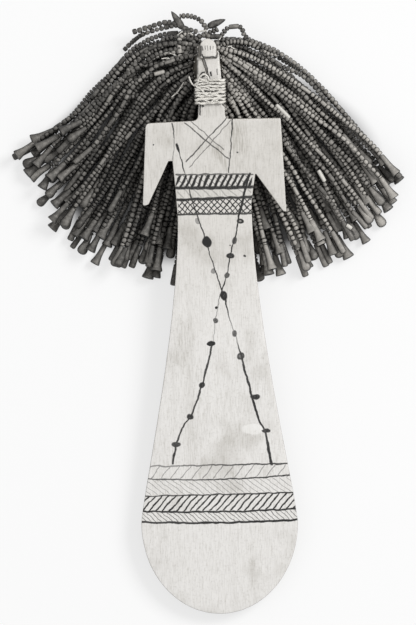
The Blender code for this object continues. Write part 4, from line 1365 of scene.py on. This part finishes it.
def makeFan(label, material):
    # The order of the random draws is that of the solids, so that every strand lies on its solid.
    fan = fans[label]
    draw = random.Random(hair["seed"] + fan["side"])
    flank = math.pi * math.sqrt(((hair["gatherWidth"] / 2) ** 2 + (hair["gatherLength"] / 2) ** 2) / 2)
    flank *= (hair["rootAngles"][1] - hair["rootAngles"][0]) / 180
    count = int(flank / (hair["strandDiameter"] + hair["gap"]))
    heights = layerHeights()
    radius = hair["strandDiameter"] / 2
    strands = []
    for layer in range(hair["layers"] - 1):
        for index in range(count):
            spread = (index + 0.5 + (layer - 1) / hair["layers"]) / count
            reach = fanReach(fan, spread) - layer * hair["stepBack"]
            reach += draw.uniform(-1, 1) * hair["reachJitter"]
            kind = draw.choice(("bell", "bell", "drop", "rod"))
            strands.append((kind, spread, raisedRoute(strandPlan(fan, spread, reach), heights[layer])))
            layOnHeap(strands[-1][-1], radius)
    upper = upperRoutes[label]
    for index, (kind, *places) in enumerate(upper):
        root = rootPoint(fan["side"], (index + 0.5) / len(upper))
        stops = [root] + [Vector(at) * fan["reach"] for at in places]
        plan = smoothRoute([Vector((*stop, 0.0)) for stop in stops])
        spread = (index + 0.5) / len(upper)
        strands.append((kind, spread, drapedRoute(plan, radius, (heights[-1][0], heights[1][1]))))
        layOnHeap(strands[-1][-1], radius)
    for number, (kind, spread, route) in enumerate(strands, 1):
        shape = bmesh.new()
        own = random.Random(1000 * fan["side"] + number)
        stringStrand(shape, route, kind, own, tonesInBodyShade(fan, spread))
        strand = newPiece(f"beads_{label}_{number:02d}", shape, material, 60)
        rideWith(strand, "mud", f"strand_{label}_{number:02d}")


crownRoutes = {
    "crown_strand_left": ((-6.0, 14.2), (-10.5, 17.8), (-16.5, 19.6), (-23.2, 17.8), (-30.5, 15.8)),
    "crown_strand_right": (
        (4.6, 12.2), (6.6, 15.6), (10.2, 18.2), (13.6, 16.8), (15.2, 13.0), (21.8, 9.4), (28.6, 6.0),
    ),
    "crown_loop": ((-0.4, 15.2), (-2.2, 19.6), (-6.8, 21.9), (-11.2, 21.9)),
}


def makeCrownStrands(material):
    heights = [height + hair["strandDiameter"] + hair["gap"] for height in layerHeights()[-1]]
    for index, (name, places) in enumerate(crownRoutes.items()):
        plan = smoothRoute([Vector(place) * mm for place in places])
        shape = bmesh.new()
        route = drapedRoute(plan, hair["strandDiameter"] / 2, heights)
        stringStrand(shape, route, None, random.Random(700 + index), fans["left"]["tones"])
        layOnHeap(route, hair["strandDiameter"] / 2)
        strand = newPiece(f"beads_{name}", shape, material, 60)
        rideWith(strand, "mud", name)


# Short stubs and broken ends about the crown: places right of and above the hair's centre in
# millimetres, the end bead, the thickness and the side whose tones they share.
stubRoutes = (
    (((-6.4, 11.4), (-9.9, 17.0), (-12.3, 20.2), (-14.4, 23.9)), "spike", 1.05, "left"),
    (((-1.6, 16.2), (0.7, 18.0), (2.9, 19.0), (6.6, 20.2)), "spike", 0.9, "left"),
    (((-1.8, 14.4), (2.0, 15.6), (4.6, 16.8)), None, 1.1, "left"),
    (((-1.2, 13.2), (2.8, 13.8), (6.2, 13.4)), None, 1.05, "left"),
    (((1.6, 13.4), (-2.4, 14.3), (-5.2, 12.1), (-7.7, 8.9), (-9.5, 5.4)), None, 1.12, "left"),
    (((-3.6, 15.4), (-7.9, 16.6), (-12.3, 18.2), (-15.9, 17.7), (-19.5, 16.9), (-23.2, 16.0), (-26.8, 14.6),
      (-30.6, 12.0), (-34.2, 8.4)), None, 0.90, "left"),
    (((-6.6, 15.8), (-11.0, 13.4), (-11.5, 8.6), (-10.6, 3.2)), None, 1.08, "right"),
    (((-3.4, 12.6), (-8.2, 13.2), (-13.6, 13.8), (-18.8, 12.4)), None, 1.0, "left"),
    (((22.0, 8.1), (23.5, 6.6), (26.3, 6.0), (28.6, 5.6)), None, 0.84, "right"),
    (((5.2, 9.9), (8.4, 11.3), (12.4, 11.4), (16.4, 10.8), (19.5, 9.3), (20.7, 8.3)), None, 1.12, "right"),
)
# Single large or pale beads: both ends in the same way, and the tone.
paleBeads = (
    ((26.8, -14.0), (32.3, -19.7), 1.0),
    ((43.4, -40.4), (46.0, -45.3), 1.0),
    ((54.2, -62.6), (56.5, -64.2), 1.0),
    ((-17.4, -0.1), (-21.8, -1.2), 0.7),
)
upperHeap = {
    "left": 17,
    "right": 19,
    "seed": 5,
    "samples": 64,
    "bare": 0.5 * mm,
    "rootHeights": (10.4 * mm, 12.2 * mm),
}
lowStrands = {
    "count": 30,
    "tries": 18,
    "seed": 41,
    "inward": (1.0 * mm, 20.0 * mm),
    "heights": (1.2 * mm, 3.0 * mm),
    "rootHeights": (3.2 * mm, 6.0 * mm),
    "lowest": 4,
    "inside": 4,
    "darker": 0.5,
}


def upperPlan(fan, spread, tipAngle, reach, draw):
    # A strand of the upper heap: it leaves from beside the head as the photograph shows.
    side = fan["side"]
    starts = fan["upperStarts"]
    at = spread * (len(starts) - 1.001)
    startAngle = lerp(starts[int(at)], starts[int(at) + 1], at % 1) + draw.uniform(-7, 7)
    root = rootPoint(side, spread) * draw.uniform(0.72, 0.95)
    tip = outward(side, tipAngle) * reach
    start = outward(side, startAngle) * lerp(*fan["upperPulls"], spread) * draw.uniform(0.8, 1.15)
    endAngle = tipAngle * lerp(*fan["endLeans"], spread) * draw.uniform(0.78, 1.10)
    end = outward(side, endAngle) * lerp(*fan["endPulls"], spread) * draw.uniform(0.8, 1.1)
    plan = interpolate_bezier(root, root + start, tip - end, tip, upperHeap["samples"])
    wander = draw.uniform(0, 100)
    placed = []
    for index, point in enumerate(plan):
        share = index / (len(plan) - 1)
        across = (plan[min(index + 1, len(plan) - 1)] - plan[max(index - 1, 0)]).normalized()
        aside = noise.noise(Vector((share * 5, wander, 0.0))) * 1.3 * mm * ease(share * 4)
        placed.append(Vector((point.x - across.y * aside, point.y + across.x * aside)))
    return placed


def bareGround(route):
    # How much open floor a strand would cover, in small squares.
    covered = [square for point in route[::2] for square, _ in cellsUnder(point, 1.5 * mm)]
    return sum(square not in heap["tops"] for square in covered)


def makeLowStrands(label, material):
    # Strands low in the heap, each laid where most of the floor still shows between the layers.
    fan = fans[label]
    draw = random.Random(lowStrands["seed"] + fan["side"])
    shape = bmesh.new()
    for index in range(lowStrands["count"]):
        choices = []
        for _ in range(lowStrands["tries"]):
            spread = draw.uniform(0.0, 1.0)
            tipAngle = lerp(lowStrands["lowest"], fan["tipAngles"][1] - lowStrands["inside"], spread)
            reach = fanReach(fan, spread) - draw.uniform(*lowStrands["inward"])
            heights = (draw.uniform(*lowStrands["rootHeights"]), draw.uniform(*lowStrands["heights"]))
            choices.append((raisedRoute(upperPlan(fan, spread, tipAngle, reach, draw), heights), spread))
        route, spread = max(choices, key=lambda choice: bareGround(choice[0]))
        kind = draw.choice(("bell", "bell", "drop", "rod"))
        own = random.Random(3000 * fan["side"] + index)
        # Low strands are painted darker still, as painted shade under the strands above them.
        tones = [tone * lowStrands["darker"] for tone in tonesInBodyShade(fan, spread)]
        stringStrand(shape, route, kind, own, tones, upperHeap["bare"], 0.96)
        layOnHeap(route, hair["strandDiameter"] / 2)
    rideWith(newPiece(f"low_strands_{label}", shape, material, 60), "mud")


def dropOnHeap(shape, plan, kind, draw, tones, thickness=1.0):
    radius = hair["strandDiameter"] / 2 * thickness
    route = drapedRoute(plan, radius, (draw.uniform(*upperHeap["rootHeights"]), 0.0))
    stringStrand(shape, route, kind, draw, tones, upperHeap["bare"], thickness)
    layOnHeap(route, radius)


def makeUpperHeap(label, material):
    # Further strands that lie across the layers below, as full and as crossed as in the photograph.
    fan = fans[label]
    draw = random.Random(upperHeap["seed"] + fan["side"])
    shape = bmesh.new()
    count = upperHeap[label]
    order = list(range(count))
    draw.shuffle(order)
    for turn, index in enumerate(order):
        spread = (index + draw.uniform(0.15, 0.85)) / count
        tipAngle = lerp(*fan["tipAngles"], min(0.93, spread + draw.uniform(-0.05, 0.05)))
        inward = draw.choice((0.5, 2.5, 5.0, 9.0, 14.0, 20.0)) * mm + draw.uniform(0, 2.5) * mm
        plan = upperPlan(fan, spread, tipAngle, fanReach(fan, spread) - inward, draw)
        kind = draw.choice(("bell", "bell", "drop", "rod"))
        own = random.Random(500 * fan["side"] + turn)
        dropOnHeap(shape, plan, kind, own, tonesInBodyShade(fan, spread), draw.uniform(0.88, 1.06))
    for index, (places, kind, thickness, side) in enumerate(stubRoutes):
        if (places[0][0] < 3.0) == (label == "left"):
            plan = smoothRoute([Vector((*place, 0.0)) * mm for place in places])
            own = random.Random(900 + index)
            dropOnHeap(shape, plan, kind, own, fans[side]["tones"], thickness)
    toneLayer = shape.verts.layers.float["tone"]
    for start, end, tone in paleBeads:
        if (start[0] < 0) == (label == "left"):
            plan = [Vector((*start, 0.0)).lerp(Vector((*end, 0.0)), step / 6) * mm for step in range(7)]
            route = drapedRoute(plan, 0.9 * mm)
            along = route[-1] - route[0]
            heading = along.normalized()
            stampBead(shape, toneLayer, "tube", route[0], heading, along.length, 1.1 * mm, tone, draw)
    rideWith(newPiece(f"loose_strands_{label}", shape, material, 60), "mud")


# The gathered threads behind the head

# Bare threads that stick out beside the head: places right of and above the hair's centre in mm.
looseThreads = (
    ((-9.4, 3.0), (-7.4, 2.7), (-5.7, 3.2)),
    ((-14.8, -10.4), (-12.0, -7.8), (-8.4, -2.0), (-6.9, -0.8)),
    ((-14.0, -9.4), (-13.0, -9.0), (-12.2, -8.9)),
    ((-17.4, 7.4), (-14.6, 7.0), (-12.8, 6.2)),
    ((-18.6, 5.0), (-16.4, 5.2), (-14.8, 4.6)),
    ((-3.4, 15.6), (-1.6, 15.9), (-0.4, 15.0)),
    ((-13.0, 13.6), (-10.2, 15.6), (-8.6, 14.6)),
    ((6.9, 8.8), (8.4, 9.4), (9.6, 9.6)),
    ((9.2, 9.2), (10.2, 8.6), (11.3, 7.4)),
    ((7.7, 6.8), (8.4, 6.9), (9.1, 6.6)),
    ((8.6, 5.2), (9.4, 4.9), (9.9, 4.1)),
    ((9.6, 0.1), (10.9, 0.1), (12.1, -1.3)),
    ((4.6, 12.4), (5.2, 13.2), (6.2, 13.4)),
)


def makeLooseThreads(material):
    # Pale threads where strands start, and a few that have come loose.
    shape = bmesh.new()
    for route in threadRoutes:
        addTube(shape, route, 0.3 * mm, 5)
    for places in looseThreads:
        plan = smoothRoute([Vector((*place, 0.0)) * mm for place in places], 5)
        route = [point + Vector((0.0, 0.0, 0.7 * mm)) for point in drapedRoute(plan, 0.6 * mm)]
        addTube(shape, route, 0.28 * mm, 6)
    bmesh.ops.recalc_face_normals(shape, faces=shape.faces)
    rideWith(newPiece("loose_linen_threads", shape, material, 60), "linen")


def makeHairThreads(material):
    # A bundle of threads wound round itself, under the head, that every strand hangs from.
    shape = bmesh.new()
    belowCord = binding["clearance"] * 2 + binding["diameter"]
    middleDown = hair["gatherDown"]
    depth = backHeight(middleDown + hair["gatherLength"] / 2) - hair["floorGap"]
    levels = (
        (0.3 * mm, board["capWidth"] * 0.8, board["headLength"] * 0.72, board["headLength"] * 0.56),
        (belowCord, board["capWidth"] * 0.9, board["headLength"] * 0.72, board["headLength"] * 0.56),
        (belowCord + 0.3 * mm, hair["gatherWidth"] * 0.92, hair["gatherLength"] * 0.96, middleDown),
        (belowCord + 1.1 * mm, hair["gatherWidth"], hair["gatherLength"], middleDown),
        (depth - 0.6 * mm, hair["gatherWidth"], hair["gatherLength"], middleDown),
        (depth, hair["gatherWidth"] * 0.92, hair["gatherLength"] * 0.96, middleDown),
    )
    sides = 72
    ring = bmesh.ops.create_circle(shape, cap_ends=True, segments=sides, radius=0.5)["verts"]
    rings = [ring]
    for _ in levels[1:]:
        faces = [face for face in shape.faces if set(face.verts) == set(rings[-1])]
        made = bmesh.ops.extrude_face_region(shape, geom=faces)
        rings.append([item for item in made["geom"] if isinstance(item, bmesh.types.BMVert)])
    for verts, (below, width, length, down) in zip(rings, levels):
        for vert in verts:
            angle = math.atan2(vert.co.y, vert.co.x)
            ripple = 1 + 0.025 * math.cos(angle * 24)
            x = -board["headOffset"] + math.cos(angle) * width / 2 * ripple
            y = board["length"] - down + math.sin(angle) * length / 2 * ripple
            vert.co = lyingMatrix @ Vector((x, y, -below))
    bmesh.ops.recalc_face_normals(shape, faces=shape.faces)
    threads = newPiece("gathered_linen_threads", shape, material, 60)
    rideWith(threads, "linen", "hair_threads")


# Floor, light and camera

stageSettings = {
    "floorSize": 12.0,
    "floorColour": "#8c8c8c",
    "floorGlow": 0.66,
    "shadeHalf": (64.0 * mm, 38.0 * mm),
    "shadeBelow": 38.0 * mm,
    "shadeEdge": (0.90, 1.12),
    "world": 0.58,
    "lights": {
        "key light": {"place": (1.2, 0.8, 1.3), "size": 0.8, "energy": 28.0},
        "fill light": {"place": (-1.0, -0.4, 1.5), "size": 1.6, "energy": 4.0},
    },
}


def makeStage():
    shape = bmesh.new()
    bmesh.ops.create_grid(shape, x_segments=1, y_segments=1, size=stageSettings["floorSize"] / 2)
    # A white ground that glows as painted light, as of a light table, so that shadows stay faint on it; in an
    # oval under the thick hair it stops glowing, as painted shade there.
    material, tree, shader = newMaterial("glowing ground with painted shade")
    shader.inputs["Base Color"].default_value = linearColour(stageSettings["floorColour"])
    shader.inputs["Roughness"].default_value = 0.9
    shader.inputs["Emission Color"].default_value = (1.0, 1.0, 1.0, 1.0)
    where = addNode(tree, "ShaderNodeTexCoord").outputs["Object"]
    middle = hair["centre"] - Vector((0.0, stageSettings["shadeBelow"], 0.0))
    offset = computeVector(tree, "SUBTRACT", where, middle)
    halves = Vector((*stageSettings["shadeHalf"], 1.0))
    scaled = computeVector(tree, "DIVIDE", offset, halves)
    away = computeVector(tree, "LENGTH", scaled)
    # Painted light: the ground glows outside an oval round the hair; inside the oval it stays dark as painted
    # shade.
    lit = softStep(tree, away, *stageSettings["shadeEdge"])
    glow = product(tree, lit, stageSettings["floorGlow"])
    tree.links.new(glow, shader.inputs["Emission Strength"])
    floor = newPiece("floor", shape, material)


def addAreaLight(name, place, size, energy):
    light = bpy.data.lights.new(name, "AREA")
    light.energy = energy
    light.size = size
    lamp = bpy.data.objects.new(name, light)
    lamp.location = place
    lamp.rotation_euler = (-Vector(place)).to_track_quat("-Z", "Y").to_euler()
    bpy.context.scene.collection.objects.link(lamp)


def makeLights():
    world = bpy.data.worlds.new("pale room")
    world.use_nodes = True
    background = world.node_tree.nodes["Background"]
    background.inputs["Color"].default_value = (1.0, 1.0, 1.0, 1.0)
    background.inputs["Strength"].default_value = stageSettings["world"]
    bpy.context.scene.world = world
    for name, light in stageSettings["lights"].items():
        addAreaLight(name, light["place"], light["size"], light["energy"])
    bpy.context.scene.view_settings.view_transform = "Standard"
    bpy.context.scene.view_settings.look = "None"


cameraSettings = {
    "lens": 420.0,
    "sensor": 36.0,
    "fieldHeight": 250.0 * mm,
    "sharpHeight": 12.0 * mm,
    "roll": 0.92,
    "centre": (-0.73 * mm, 0.2 * mm),
}


def makeCamera():
    # A long lens straight above. The photograph is turned a little, so the foot lies to the right.
    data = bpy.data.cameras.new("camera")
    data.lens = cameraSettings["lens"]
    data.sensor_width = cameraSettings["sensor"]
    data.clip_end = 50.0
    camera = bpy.data.objects.new("camera", data)
    away = cameraSettings["lens"] * cameraSettings["fieldHeight"] / cameraSettings["sensor"]
    camera.location = (*cameraSettings["centre"], away + cameraSettings["sharpHeight"])
    camera.rotation_euler = (0.0, 0.0, math.radians(-cameraSettings["roll"]))
    bpy.context.scene.collection.objects.link(camera)
    bpy.context.scene.camera = camera


makeCamera()
makeLights()
makeStage()
print("stage ready")
makePaddle(dryWood("painted wood", bodyMarks), dryWood("carved wood of the head", headMarks))
print("paddle carved and painted")
cordLinen = linen("linen cord", linenLook)
makeBinding(cordLinen)
makeHairThreads(linen("linen thread", threadLook))
print("linen cord and threads wound")
mud = driedMud()
for fanLabel in fans:
    makeFan(fanLabel, mud)
makeCrownStrands(mud)
print("layers of hair strung")
for fanLabel in fans:
    makeLowStrands(fanLabel, mud)
print("gaps between the layers filled")
for fanLabel in fans:
    makeUpperHeap(fanLabel, mud)
makeLooseThreads(cordLinen)
print("upper heap of hair laid")
